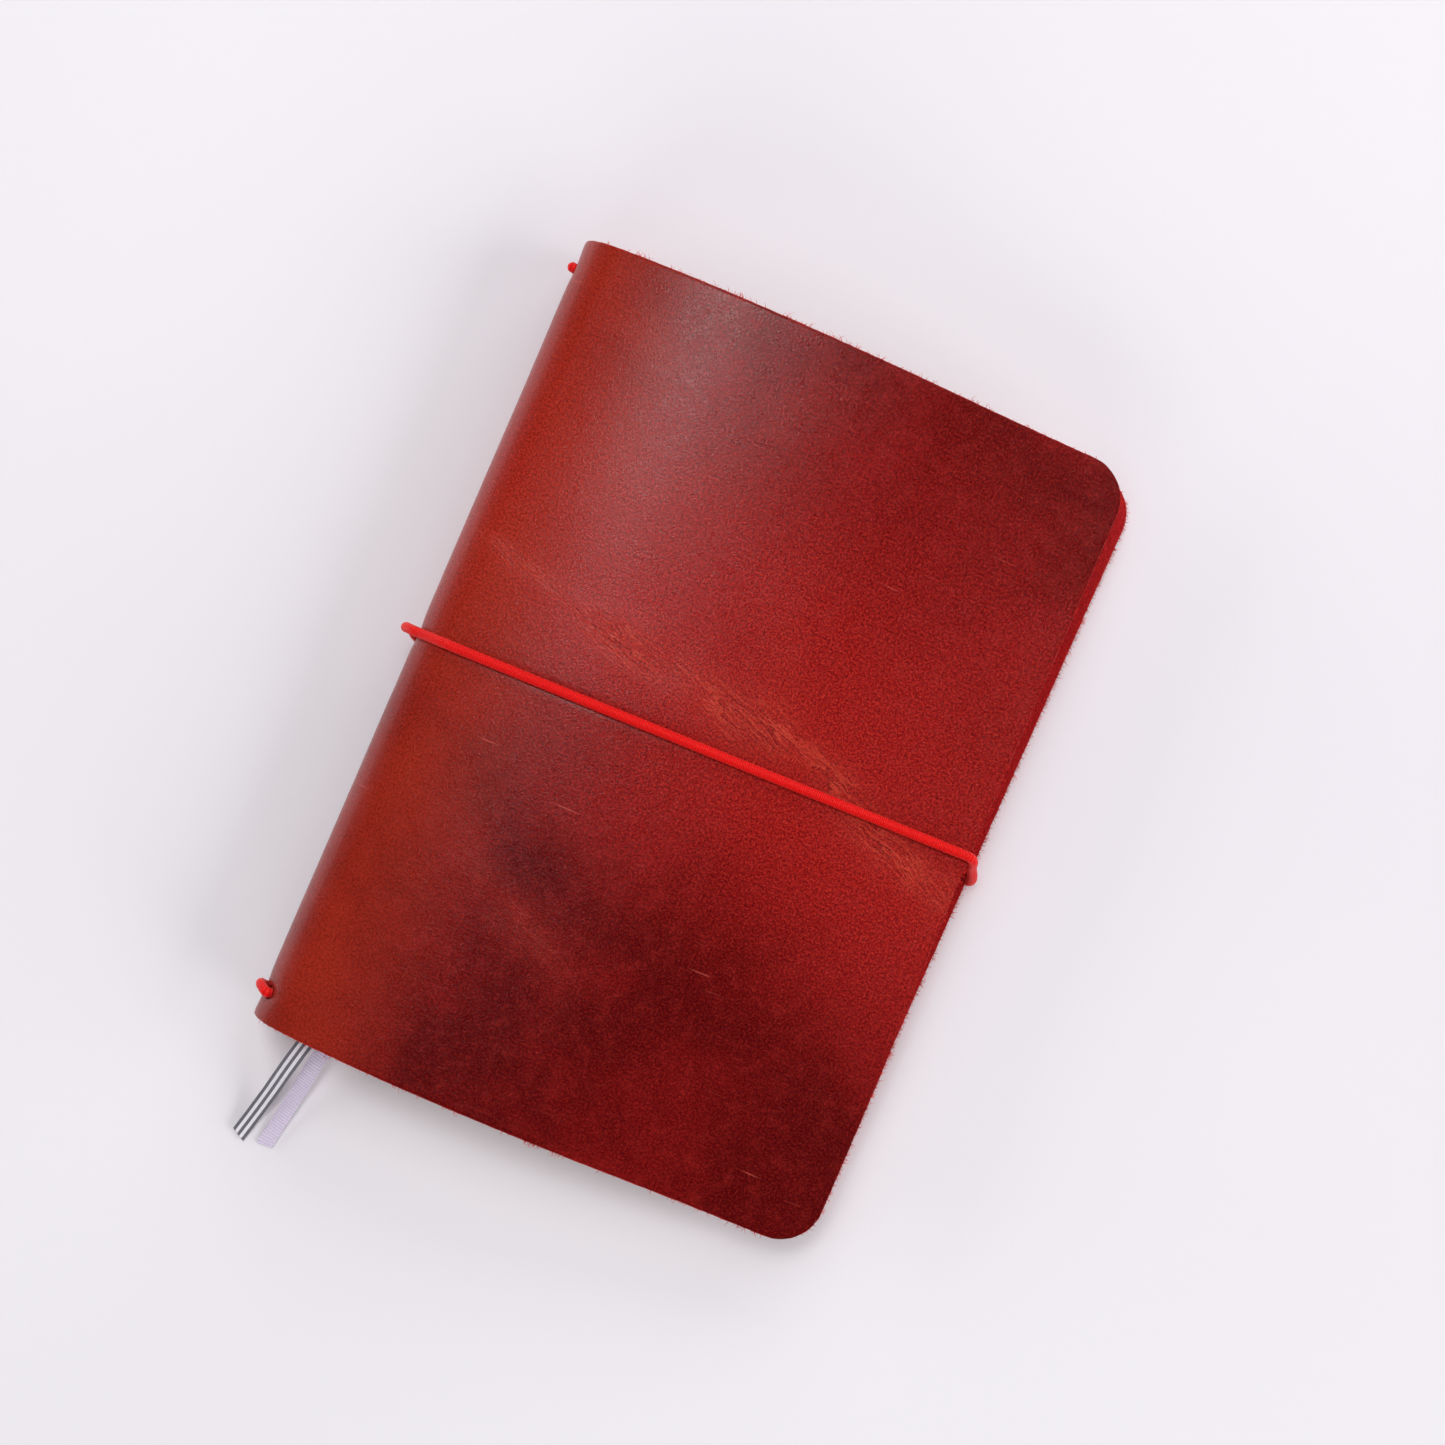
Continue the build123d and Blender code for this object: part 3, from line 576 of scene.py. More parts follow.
def strand(place, angle, name):
    """A strand from a tail hole, along the inside of a fold, to the head hole."""
    axis = (SPINE_RADIUS, SPINE_RADIUS)
    a = math.radians(angle)
    route = []
    for y in (-HOLE_Y, HOLE_Y):
        ends = []
        tied_off = angle == HOLE_ANGLES["front"] and y > 0
        through = (SPINE_RADIUS - 0.4, SPINE_RADIUS - 2.2, SPINE_RADIUS - 3.9)
        for radius in (3.2, 2.9, 2.6) if tied_off else through:
            ends.append(at(axis[0] + radius * math.cos(a), axis[1] + radius * math.sin(a), y))
        inner = math.copysign(HOLE_Y - 1.2, y)
        between = (ends[-1][0] + ORIGIN_S) * 0.35 + place[0] * 0.65
        ends += [at(between, place[1], y * 0.998), at(*place, inner)]
        route += ends if y < 0 else ends[::-1]
    middle = [at(*place, y) for y in np.linspace(-HOLE_Y + 8, HOLE_Y - 8, 10)]
    route = route[:5] + middle + route[5:]
    return elastic(name, route)


def stitch(name, first, last, y, bow):
    """The elastic outside the spine, from one hole into the next."""
    route = []
    near, far = (first * 2 + last) / 3, (first + 2 * last) / 3
    rise = 9.9 + bow * 0.35
    for angle, radius in ((first, 6.9), (first, 8.7), (first, rise), (near, 10.25 + bow),
                          (far, 10.25 + bow), (last, rise), (last, 8.7), (last, 6.9)):
        a = math.radians(angle)
        shift = 0.45 * math.sin((angle - first) / (last - first) * math.pi)
        s, z = SPINE_RADIUS + radius * math.cos(a), SPINE_RADIUS + radius * math.sin(a)
        route.append(at(s, z, y + shift))
    return elastic(name, route)


# ---------------------------------------------------------------- ribbons
RIBBON_WIDTH = 3.0
RIBBON_THICK = 0.25
# Each ribbon's underside in metres (s, z, y): head, where it starts to fall, falling, and tip.
GREY_ROUTE = [(0.0118, 0.01095, 0.067), (0.0126, 0.01095, -0.071), (0.00986, 0.0103, -0.0815),
              (0.00713, 0.0011, -0.092), (0.005, 0.00035, -0.1002)]
LAVENDER_ROUTE = [(0.0142, 0.00485, 0.067), (0.0152, 0.00485, -0.071), (0.0134, 0.00456, -0.0815),
                  (0.0116, 0.00039, -0.092), (0.0102, 0.00005, -0.1002)]


def nurbs_line(name, route):
    """Points read from a smooth spline with the route's points as its control points."""
    curve = bpy.data.curves.new(name + "_line", "CURVE")
    curve.dimensions = "3D"
    curve.resolution_u = 64
    spline = curve.splines.new("NURBS")
    spline.points.add(len(route) - 1)
    for point, (s, z, y) in zip(spline.points, route):
        point.co = (s - ORIGIN_S * MM, y, z + RIBBON_THICK / 2 * MM, 1.0)
    spline.order_u = 3
    spline.use_endpoint_u = True
    holder = bpy.data.objects.new(name + "_line", curve)
    bpy.context.scene.collection.objects.link(holder)
    bpy.context.view_layer.update()
    mesh = bpy.data.meshes.new_from_object(holder)
    line = np.array([v.co for v in mesh.vertices]) / MM
    bpy.data.objects.remove(holder)
    bpy.data.meshes.remove(mesh)
    return line


def ribbon(name, route, slant, twist, seed):
    """A woven ribbon with a slight crown, wavy selvages and a cut tip."""
    line = nurbs_line(name, route)
    run = run_along(line)
    spots = np.concatenate([np.arange(0, 136, 1.5), np.arange(136, run[-1], 0.16), [run[-1]]])
    path = np.stack([np.interp(spots, run, line[:, k]) for k in range(3)], axis=-1)
    tangent = np.gradient(path, spots, axis=0)
    tangent /= np.linalg.norm(tangent, axis=1)[:, None]
    across = np.linspace(-1, 1, 25)
    lean = np.radians(twist) * step(140.0, run[-1] - 6, spots)
    points, uvs = [], []
    free = step(139.0, 150.0, spots)
    for face in (1, -1):
        for k, (place, t) in enumerate(zip(path, tangent)):
            side = np.cross(t, (0, 0, 1))
            side /= np.linalg.norm(side)
            up = np.cross(side, t)
            c, s = math.cos(lean[k]), math.sin(lean[k])
            side, up = side * c + up * s, up * c - side * s
            selvage = np.abs(across) > 0.9
            width = RIBBON_WIDTH / 2 * (1 + 0.012 * noise(spots[k], seed, 2.0, seed) * np.abs(across))
            rib = 0.012 * math.cos(spots[k] * 2 * math.pi / 0.55) * free[k]
            crown = 0.10 * (1 - across ** 2) * free[k]
            height = crown + face * (RIBBON_THICK / 2 - 0.02 + rib + 0.02 * selvage)
            # The tip is cut aslant.
            cut = -t * (slant * across)[:, None] * step(run[-1] - 3.0, run[-1], spots[k])
            ring = place + np.outer(across * width, side) + np.outer(height, up) + cut
            points.append(ring)
            uvs.append(np.stack([np.full(len(across), spots[k]), across * RIBBON_WIDTH / 2], axis=-1))
    points = np.vstack(points)
    points[:, 2] = np.maximum(points[:, 2], 0.04)
    rows, columns = len(spots), len(across)
    faces = [tuple(f) for f in grid_faces(rows, columns, 0, flip=True)]
    faces += [tuple(f) for f in grid_faces(rows, columns, rows * columns)]
    low = rows * columns
    for k in range(rows - 1):
        for edge, flip in ((0, False), (columns - 1, True)):
            a, b = k * columns + edge, (k + 1) * columns + edge
            quad = (a, b, b + low, a + low)
            faces.append(quad if flip else quad[::-1])
    for k, flip in ((0, True), (rows - 1, False)):
        for c in range(columns - 1):
            a = k * columns + c
            quad = (a, a + 1, a + 1 + low, a + low)
            faces.append(quad if flip else quad[::-1])
    obj = mesh_object(name, points, faces)
    uv = obj.data.uv_layers.new(name="weave")
    corners = np.empty(len(obj.data.loops), int)
    obj.data.loops.foreach_get("vertex_index", corners)
    uv.data.foreach_set("uv", (np.vstack(uvs)[corners] / 100).astype(np.float32).ravel())
    near = line[np.searchsorted(run, np.linspace(0, run[-1], 90)).clip(0, len(line) - 1)]
    return obj, near * MM, run[-1] * MM


# ---------------------------------------------------------------- booklets
def under_leaf(s, depth):
    """Height of the front leaf's flesh side, less a gap."""
    arc = arc_of_s(s)
    return on_leather(arc, 0.0, -depth)[..., 2]


def booklet_line(shape, depth_share, half=None, trim=False, inset=CARD):
    """Section of one folded sheet, from the lower fore-edge round the fold to the upper one."""
    (fold_s, fold_z), radius = shape["fold"], shape["radius"]
    edge = fold_s - radius + BOOKLET_WIDTH
    r = max((radius - inset) * (1 - depth_share), 0.02)
    s = np.linspace(edge, fold_s, 46)
    share = (s - fold_s) / (edge - fold_s)
    middle_edge = PARTING_EDGE_Z if shape is MIDDLE_BOOKLET else (shape["low"] + shape["high"]) / 2
    if trim:
        middle_edge = (shape["low"] + 12.6) / 2
    middle = fold_z + share * (middle_edge - fold_z)
    base = (fold_z - radius + inset) + share * (shape["low"] - fold_z + radius)
    top = (fold_z + radius - inset) + share * (shape["high"] - fold_z - radius)
    if trim:
        top = np.minimum(top, under_leaf(s, LEATHER + 0.3 + inset))
    if half == "front":
        middle = middle + HALF_LIFT
    low_line = base + (middle - base) * depth_share
    high_line = top + (middle - top) * depth_share
    turn = np.radians(np.linspace(270, 90, 17))[1:-1]
    if half == "back":
        turn = np.radians(np.linspace(270, 181, 9))[1:]
    if half == "front":
        turn = np.radians(np.linspace(168, 90, 9))[:-1]
    fold = np.stack([fold_s + r * np.cos(turn), fold_z + r * np.sin(turn)], axis=-1)
    low = np.stack([s, low_line], axis=-1)
    high = np.stack([s, high_line], axis=-1)[::-1]
    parts = {"back": [low, fold], "front": [fold, high]}.get(half, [low, fold, high])
    return np.vstack(parts)


def sheet_solid(line, thickness, y_low, y_high, trim_ends):
    """A folded sheet from its section; trim_ends shortens or lengthens each fore-edge."""
    line = np.array(line)
    tangent = np.gradient(line, axis=0)
    tangent /= np.linalg.norm(tangent, axis=1)[:, None] + 1e-12
    line[0] = line[0] - tangent[0] * trim_ends[0]
    line[-1] = line[-1] + tangent[-1] * trim_ends[1]
    normal = np.stack([-tangent[:, 1], tangent[:, 0]], axis=-1)
    loop = np.vstack([line + normal * thickness / 2, (line - normal * thickness / 2)[::-1]])
    count = len(loop)
    points = [at(s, z, y) for y in (y_low, y_high) for s, z in loop]
    faces = [(k, (k + 1) % count, count + (k + 1) % count, count + k) for k in range(count)]
    half = count // 2
    for k in range(half - 1):
        a, b = k, count - 1 - k
        faces.append((a, b, b - 1, a + 1))
        faces.append((count + a + 1, count + b - 1, count + b, count + a))
    return points, faces


def page_stack(name, shape, count, seed, half=None, trim=False):
    """Nested folded sheets, each a little out of line with the next."""
    random = np.random.RandomState(seed)
    points, faces = [], []
    depth = {"back": 2.6, "front": 2.0}.get(half, 2.4)
    for number in range(count):
        share = (number + 0.5) / count
        line = booklet_line(shape, share, half, trim, inset=CARD + 0.03)
        thick = max(0.05, (shape["high"] if not trim else 13.0) - shape["low"]) / 2 / count * 0.8
        ends = random.uniform(-0.16, 0.0, 2) - 0.6
        y = PAGE_HEIGHT / 2 - 0.6 - random.uniform(0.0, 0.16, 2)
        more, quads = sheet_solid(line, min(thick, depth / count), -y[0], y[1], ends)
        faces += [tuple(i + len(points) for i in quad) for quad in quads]
        points += more
    return mesh_object(name, points, faces, smooth=False)


def card_cover(name, shape, half=None, trim=False):
    """The folded kraft card round a booklet."""
    line = booklet_line(shape, 0.0, half, trim, inset=CARD / 2)
    points, faces = sheet_solid(line, CARD, -PAGE_HEIGHT / 2, PAGE_HEIGHT / 2, (0.0, 0.0))
    return mesh_object(name, points, faces, smooth=False)


# ---------------------------------------------------------------- materials
class Shader:
    """A node material with one principled shader."""

    def __init__(self, name):
        self.material = bpy.data.materials.new(name)
        self.material.use_nodes = True
        self.tree = self.material.node_tree
        self.shader = self.tree.nodes["Principled BSDF"]

    def node(self, kind, **values):
        node = self.tree.nodes.new(kind)
        for key, value in values.items():
            setattr(node, key, value)
        return node

    def link(self, source, target):
        self.tree.links.new(source, target)

    def put(self, socket, value):
        """A socket takes a link or a constant."""
        if isinstance(value, bpy.types.NodeSocket):
            self.link(value, socket)
        else:
            socket.default_value = value

    def uv(self, layer, scale=(100.0, 100.0, 100.0)):
        """Sheet coordinates, back in millimetres."""
        source = self.node("ShaderNodeUVMap", uv_map=layer)
        mapping = self.node("ShaderNodeMapping")
        mapping.inputs["Scale"].default_value = scale
        self.link(source.outputs[0], mapping.inputs[0])
        return mapping.outputs[0]

    def place(self, scale=(1000.0, 1000.0, 1000.0)):
        """Object coordinates in millimetres."""
        source = self.node("ShaderNodeTexCoord")
        mapping = self.node("ShaderNodeMapping")
        mapping.inputs["Scale"].default_value = scale
        self.link(source.outputs["Object"], mapping.inputs[0])
        return mapping.outputs[0]

    def attribute(self, name):
        return self.node("ShaderNodeAttribute", attribute_name=name).outputs["Fac"]

    def noise(self, place, size, detail=3.0, rough=0.55, warp=0.0):
        node = self.node("ShaderNodeTexNoise")
        self.put(node.inputs["Vector"], place)
        node.inputs["Scale"].default_value = 1.0 / size
        node.inputs["Detail"].default_value = detail
        node.inputs["Roughness"].default_value = rough
        node.inputs["Distortion"].default_value = warp
        return node.outputs["Fac"]

    def cells(self, place, size, feature="F1", random=1.0):
        node = self.node("ShaderNodeTexVoronoi", feature=feature)
        self.put(node.inputs["Vector"], place)
        node.inputs["Scale"].default_value = 1.0 / size
        node.inputs["Randomness"].default_value = random
        return node.outputs["Distance"]

    def math(self, operation, a, b=0.0, clamp=False):
        node = self.node("ShaderNodeMath", operation=operation, use_clamp=clamp)
        self.put(node.inputs[0], a)
        self.put(node.inputs[1], b)
        return node.outputs[0]

    def ramp(self, value, low, high, first=0.0, last=1.0):
        node = self.node("ShaderNodeMapRange", interpolation_type="SMOOTHSTEP")
        for socket, number in zip(node.inputs[:5], (value, low, high, first, last)):
            self.put(socket, number)
        return node.outputs[0]

    def mix(self, factor, a, b):
        node = self.node("ShaderNodeMix", data_type="RGBA")
        self.put(node.inputs[0], factor)
        self.put(node.inputs[6], a)
        self.put(node.inputs[7], b)
        return node.outputs[2]

    def split(self, place):
        node = self.node("ShaderNodeSeparateXYZ")
        self.link(place, node.inputs[0])
        return node.outputs

    def bump(self, height, distance_mm, strength=1.0, under=None):
        node = self.node("ShaderNodeBump")
        node.inputs["Distance"].default_value = distance_mm * MM
        node.inputs["Strength"].default_value = strength
        self.link(height, node.inputs["Height"])
        if under is not None:
            self.link(under, node.inputs["Normal"])
        return node.outputs[0]

    def finish(self, colour, rough, normal=None, **constants):
        self.put(self.shader.inputs["Base Color"], colour)
        self.put(self.shader.inputs["Roughness"], rough)
        if normal is not None:
            self.link(normal, self.shader.inputs["Normal"])
        for name, value in constants.items():
            self.shader.inputs[name.replace("_", " ")].default_value = value
        return self.material


def srgb(red, green, blue):
    """A linear colour from display values of 0 to 255."""
    def linear(v):
        v /= 255
        return v / 12.92 if v <= 0.04045 else ((v + 0.055) / 1.055) ** 2.4
    return linear(red), linear(green), linear(blue), 1.0


def leather_material():
    """Waxed pull-up leather: dark where it is full of wax, brighter where it has been bent."""
    m = Shader("leather")
    sheet = m.uv("sheet")
    flesh = m.attribute("flesh")
    crease, dark, warm, hole = (m.attribute(n) for n in ("crease", "dark", "warm", "hole"))

    # Colour of the grain side, in broad clouds and fine mottling.
    clouds = m.noise(sheet, 26.0, 4.0, 0.6, 0.3)
    mottle = m.noise(sheet, 3.2, 5.0, 0.7)
    speckle = m.noise(sheet, 0.75, 3.0, 0.7)
    deep = m.mix(dark, srgb(158, 20, 20), srgb(84, 0, 3))
    red = m.mix(m.ramp(clouds, 0.4, 0.72, 0.0, 0.45), deep, srgb(156, 22, 24))
    red = m.mix(m.ramp(mottle, 0.45, 0.75, 0.0, 0.26), red, srgb(176, 34, 30))
    red = m.mix(m.ramp(speckle, 0.42, 0.66, 0.0, 0.42), red, srgb(66, 0, 2))
    red = m.mix(m.math("MULTIPLY", warm, m.ramp(clouds, 0.2, 0.7, 0.45, 0.9)), red, srgb(160, 42, 25))
    # Wrinkles: long fine folds that wander along the loose bands.
    swayed = m.node("ShaderNodeVectorMath", operation="MULTIPLY_ADD")
    sway = m.node("ShaderNodeTexNoise")
    m.link(sheet, sway.inputs["Vector"])
    sway.inputs["Scale"].default_value = 1 / 13.0
    sway.inputs["Detail"].default_value = 2.0
    m.link(sway.outputs["Color"], swayed.inputs[0])
    swayed.inputs[1].default_value = (5.0, 5.0, 0.0)
    m.link(sheet, swayed.inputs[2])
    lengthwise = m.node("ShaderNodeMapping", vector_type="TEXTURE")
    lengthwise.inputs["Rotation"].default_value = (0, 0, math.radians(-21.0))
    lengthwise.inputs["Scale"].default_value = (8.0, 1.0, 1.0)
    m.link(swayed.outputs[0], lengthwise.inputs[0])
    wave = m.noise(lengthwise.outputs[0], 0.85, 2.0, 0.5)
    ridges = m.ramp(m.math("ABSOLUTE", m.math("SUBTRACT", wave, 0.5)), 0.0, 0.07, 1.0, 0.0)
    valleys = m.ramp(m.math("ABSOLUTE", m.math("SUBTRACT", wave, 0.575)), 0.0, 0.05, 1.0, 0.0)
    loose = m.ramp(m.math("ADD", crease, m.ramp(clouds, 0.3, 0.7, -0.3, 0.1)), 0.1, 1.0)
    creased = m.math("MULTIPLY", ridges, loose)
    sunk = m.math("MULTIPLY", valleys, loose)
    red = m.mix(m.math("MULTIPLY", crease, 0.45), red, srgb(176, 42, 32))
    red = m.mix(m.math("MULTIPLY", creased, 0.62), red, srgb(214, 78, 56))
    red = m.mix(m.math("MULTIPLY", sunk, 0.7), red, srgb(104, 6, 8))
    # Fine mottling of the wax, weaker where the leather is dark.
    fleck = m.noise(sheet, 0.42, 3.0, 0.75)
    fade = m.math("SUBTRACT", 1.0, m.math("MULTIPLY", dark, 0.65))
    glints = m.math("MULTIPLY", m.ramp(fleck, 0.46, 0.64, 0.0, 0.5), fade)
    red = m.mix(glints, red, srgb(206, 56, 40))
    red = m.mix(m.ramp(fleck, 0.54, 0.4, 0.0, 0.4), red, srgb(66, 0, 4))
    # Scratches: long thin streaks at two slants, broken up.
    marks = []
    for turn, shift in ((0.55, 0.0), (-0.9, 40.0), (1.35, 90.0)):
        lined = m.node("ShaderNodeMapping")
        lined.inputs["Rotation"].default_value = (0, 0, turn)
        lined.inputs["Location"].default_value = (shift, shift, 0)
        lined.inputs["Scale"].default_value = (0.045, 1.35, 1.0)
        m.link(sheet, lined.inputs[0])
        streak = m.noise(lined.outputs[0], 1.0, 1.0, 0.4)
        gate = m.ramp(m.noise(sheet, 9.0 + shift / 20, 2.0), 0.56, 0.66)
        marks.append(m.math("MULTIPLY", m.ramp(streak, 0.735, 0.80), gate))
    scratch = m.math("MAXIMUM", m.math("MAXIMUM", marks[0], marks[1]), marks[2])
    red = m.mix(m.math("MULTIPLY", scratch, 0.4), red, srgb(206, 92, 80))
    # Painted shade for the cord holes' openings, fading out round them.
    red = m.mix(m.math("MULTIPLY", hole, 0.8), red, srgb(70, 5, 8))
    # The rim and the flesh side are undyed by wax: brighter, matt and fibrous. The thin line of rim colour
    # along the grain side's edges is painted highlight of the bevel.
    nap = m.noise(sheet, 0.45, 4.0, 0.7)
    suede = m.mix(m.ramp(nap, 0.3, 0.7), srgb(150, 10, 14), srgb(206, 30, 32))
    cut = m.mix(m.ramp(nap, 0.3, 0.7), srgb(158, 4, 10), srgb(220, 32, 32))
    rim_and_edge_highlight = m.mix(m.ramp(flesh, 0.1, 0.5), red, cut)
    colour = m.mix(m.ramp(flesh, 0.85, 1.0), rim_and_edge_highlight, suede)

    # Grain: small flattened cells with pores, finer on the rim.
    warped = m.node("ShaderNodeVectorMath", operation="ADD")
    wobble = m.node("ShaderNodeTexNoise")
    m.link(sheet, wobble.inputs["Vector"])
    wobble.inputs["Scale"].default_value = 1.1
    m.link(sheet, warped.inputs[0])
    m.link(wobble.outputs["Color"], warped.inputs[1])
    pebble = m.cells(warped.outputs[0], 0.62, "DISTANCE_TO_EDGE")
    small = m.cells(warped.outputs[0], 0.3, "DISTANCE_TO_EDGE")
    grain = m.math("ADD", m.ramp(pebble, 0.0, 0.22), m.ramp(small, 0.0, 0.2, 0.0, 0.45))
    pores = m.ramp(m.cells(sheet, 0.85), 0.0, 0.16, -0.6, 0.0)
    height = m.math("ADD", grain, pores)
    height = m.math("ADD", height, m.math("MULTIPLY", m.noise(sheet, 2.2, 4.0, 0.6), 1.3))
    height = m.math("SUBTRACT", height, m.math("MULTIPLY", scratch, 0.9))
    height = m.math("ADD", height, m.math("MULTIPLY", m.math("SUBTRACT", creased, sunk), 5.0))
    grainy = m.bump(height, 0.011, 0.8)
    fuzz = m.bump(m.math("ADD", nap, m.noise(sheet, 0.16, 2.0)), 0.22, 0.9)
    normal = m.node("ShaderNodeMix", data_type="VECTOR")
    m.put(normal.inputs[0], m.ramp(flesh, 0.1, 0.45))
    m.link(grainy, normal.inputs[4])
    m.link(fuzz, normal.inputs[5])

    rough = m.math("ADD", 0.29, m.ramp(mottle, 0.3, 0.75, -0.03, 0.05))
    rough = m.math("ADD", rough, m.math("MULTIPLY", crease, 0.08))
    rough = m.math("ADD", rough, m.ramp(flesh, 0.1, 0.5, 0.0, 0.42), clamp=True)
    return m.finish(colour, rough, normal.outputs[1], Specular_IOR_Level=0.45)


def fibre_material():
    m = Shader("leather_fibre")
    shade = m.noise(m.place(), 4.0, 2.0)
    colour = m.mix(m.ramp(shade, 0.35, 0.65), srgb(190, 12, 18), srgb(232, 46, 40))
    return m.finish(colour, 0.8)


def elastic_material():
    """Braided rubber cord: saturated red, with shadows between its strands."""
    m = Shader("elastic")
    place = m.place()
    lint = m.noise(place, 0.25, 4.0, 0.7)
    wound = m.math("SINE", m.math("ADD", m.math("MULTIPLY", m.attribute("run"), 2 * math.pi / 0.40), lint))
    colour = m.mix(m.ramp(lint, 0.3, 0.7), srgb(234, 8, 10), srgb(252, 24, 18))
    colour = m.mix(m.ramp(wound, 0.1, -1.0, 0.0, 0.5), colour, srgb(150, 0, 4))
    normal = m.bump(m.math("ADD", wound, lint), 0.05, 0.8)
    return m.finish(colour, 0.62, normal, Specular_IOR_Level=0.4, Sheen_Weight=0.25, Sheen_Roughness=0.4,
                    Sheen_Tint=(1.0, 0.45, 0.4, 1.0))


def kraft_material():
    """Kraft card: brown with darker and lighter fibres."""
    m = Shader("kraft_card")
    place = m.place()
    fibre = m.noise(m.place((1000.0, 160.0, 1000.0)), 0.5, 4.0, 0.7)
    blotch = m.noise(place, 9.0, 3.0)
    fleck = m.ramp(m.cells(place, 1.7), 0.0, 0.12, 1.0, 0.0)
    colour = m.mix(m.ramp(fibre, 0.3, 0.72), srgb(150, 112, 76), srgb(186, 146, 104))
    colour = m.mix(m.ramp(blotch, 0.4, 0.7, 0.0, 0.25), colour, srgb(136, 98, 64))
    colour = m.mix(m.math("MULTIPLY", fleck, 0.45), colour, srgb(96, 66, 42))
    return m.finish(colour, 0.82, m.bump(fibre, 0.05, 0.6), Specular_IOR_Level=0.3)


def paper_material():
    """Ivory paper with a faint tooth; sheets differ a little in shade."""
    m = Shader("paper")
    place = m.place()
    tooth = m.noise(place, 0.35, 4.0, 0.65)
    layer = m.noise(m.place((30.0, 4.0, 9000.0)), 1.0, 2.0, 0.6)
    colour = m.mix(m.ramp(tooth, 0.3, 0.7), srgb(228, 220, 200), srgb(240, 234, 217))
    colour = m.mix(m.ramp(layer, 0.35, 0.65, 0.0, 0.12), colour, srgb(206, 195, 172))
    return m.finish(colour, 0.86, m.bump(tooth, 0.03, 0.5), Specular_IOR_Level=0.25)


def steel_material():
    m = Shader("staple_steel")
    drawn = m.noise(m.place((1000.0, 60.0, 1000.0)), 0.12, 3.0)
    colour = m.mix(m.ramp(drawn, 0.3, 0.7), srgb(182, 184, 188), srgb(214, 214, 216))
    return m.finish(colour, m.ramp(drawn, 0.3, 0.7, 0.24, 0.36), m.bump(drawn, 0.01, 0.5), Metallic=1.0)


def weave(m, across_count, along_step):
    """A ribbed weave's height, and how far across the ribbon each place lies."""
    along, across, _ = m.split(m.uv("weave"))
    rib = m.math("SINE", m.math("MULTIPLY", along, 2 * math.pi / along_step))
    warp = m.math("SINE", m.math("MULTIPLY", across, 2 * math.pi * across_count / RIBBON_WIDTH))
    height = m.math("ADD", m.math("MULTIPLY", rib, 0.6), m.math("MULTIPLY", warp, 0.45))
    return along, across, height


def striped_material():
    """Grey and white lengthwise stripes."""
    m = Shader("ribbon_striped")
    _, across, height = weave(m, 14, 0.5)
    stripe = m.math("COSINE", m.math("MULTIPLY", across, 2 * math.pi / 1.2))
    lint = m.noise(m.uv("weave"), 0.3, 3.0)
    colour = m.mix(m.ramp(stripe, -0.15, 0.2), srgb(246, 243, 250), srgb(104, 102, 110))
    colour = m.mix(m.ramp(lint, 0.4, 0.75, 0.0, 0.25), colour, srgb(176, 172, 182))
    return m.finish(colour, 0.66, m.bump(height, 0.05, 0.8), Sheen_Weight=0.2, Sheen_Roughness=0.4)


def lavender_material():
    """Plain pale grosgrain."""
    m = Shader("ribbon_plain")
    _, _, height = weave(m, 16, 0.55)
    lint = m.noise(m.uv("weave"), 0.35, 3.0)
    # Painted shade and highlight on the weave: its hollows are coloured darker and its ribs lighter.
    colour = m.mix(m.ramp(height, -0.8, 0.8), srgb(220, 206, 238), srgb(247, 238, 254))
    colour = m.mix(m.ramp(lint, 0.4, 0.75, 0.0, 0.25), colour, srgb(228, 216, 242))
    return m.finish(colour, 0.6, m.bump(height, 0.07, 0.9), Sheen_Weight=0.2, Sheen_Roughness=0.4)


def floor_material():
    """A pale, matt card surface."""
    m = Shader("backdrop")
    cloud = m.noise(m.place((10.0, 10.0, 10.0)), 3.0, 2.0)
    colour = m.mix(m.ramp(cloud, 0.3, 0.7), srgb(236, 233, 238), srgb(241, 239, 243))
    return m.finish(colour, 0.9, Specular_IOR_Level=0.15)


def dress(obj, material):
    """Put one material on a piece."""
    obj.data.materials.clear()
    obj.data.materials.append(material)


# ---------------------------------------------------------------- the notebook
LEATHER_SKIN = leather_material()
FIBRES = fibre_material()
ELASTIC = elastic_material()
KRAFT = kraft_material()
PAPER = paper_material()
STEEL = steel_material()
STRIPED = striped_material()
LAVENDER = lavender_material()

for number in range(len(LEATHER_NAMES)):
    piece = leather_piece(number)
    dress(piece, LEATHER_SKIN)
    bend_with_leather(piece, number)
    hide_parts(*LEATHER_NODES[number])
    fibres = edge_fibres(number, 300 + number)
    dress(fibres, FIBRES)
    bend_with_leather(fibres, number)

cord = closure_elastic()
dress(cord, ELASTIC)
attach(cord, "back_cover")
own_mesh(cord)
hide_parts("closure_elastic")

tie = knot("closing_knot", at(LEATHER + 1.45, SPINE_RADIUS, sum(SLOT_Y) / 2), (1.05, 2.6, 2.2), 11)
dress(tie, ELASTIC)
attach(tie, "spine_2")
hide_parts("closure_elastic_knot")

for name, first, last, y, number in (
        ("tail", "front", "middle", -HOLE_Y, 2), ("head", "back", "middle", HOLE_Y, 1)):
    loop = stitch("stitch_" + name, HOLE_ANGLES[first], HOLE_ANGLES[last], y, 0.1)
    dress(loop, ELASTIC)
    bend_with_leather(loop, number)
    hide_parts("elastic_stitch_" + name)

for name, place, body in (("front", (12.9, 16.0), "turned_pages"), ("middle", (8.6, 10.3), "back_cover"),
                          ("back", (10.9, 5.15), "back_cover")):
    line = strand(place, HOLE_ANGLES[name], "strand_" + name)
    dress(line, ELASTIC)
    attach(line, body)
    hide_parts("elastic_strand_" + name)

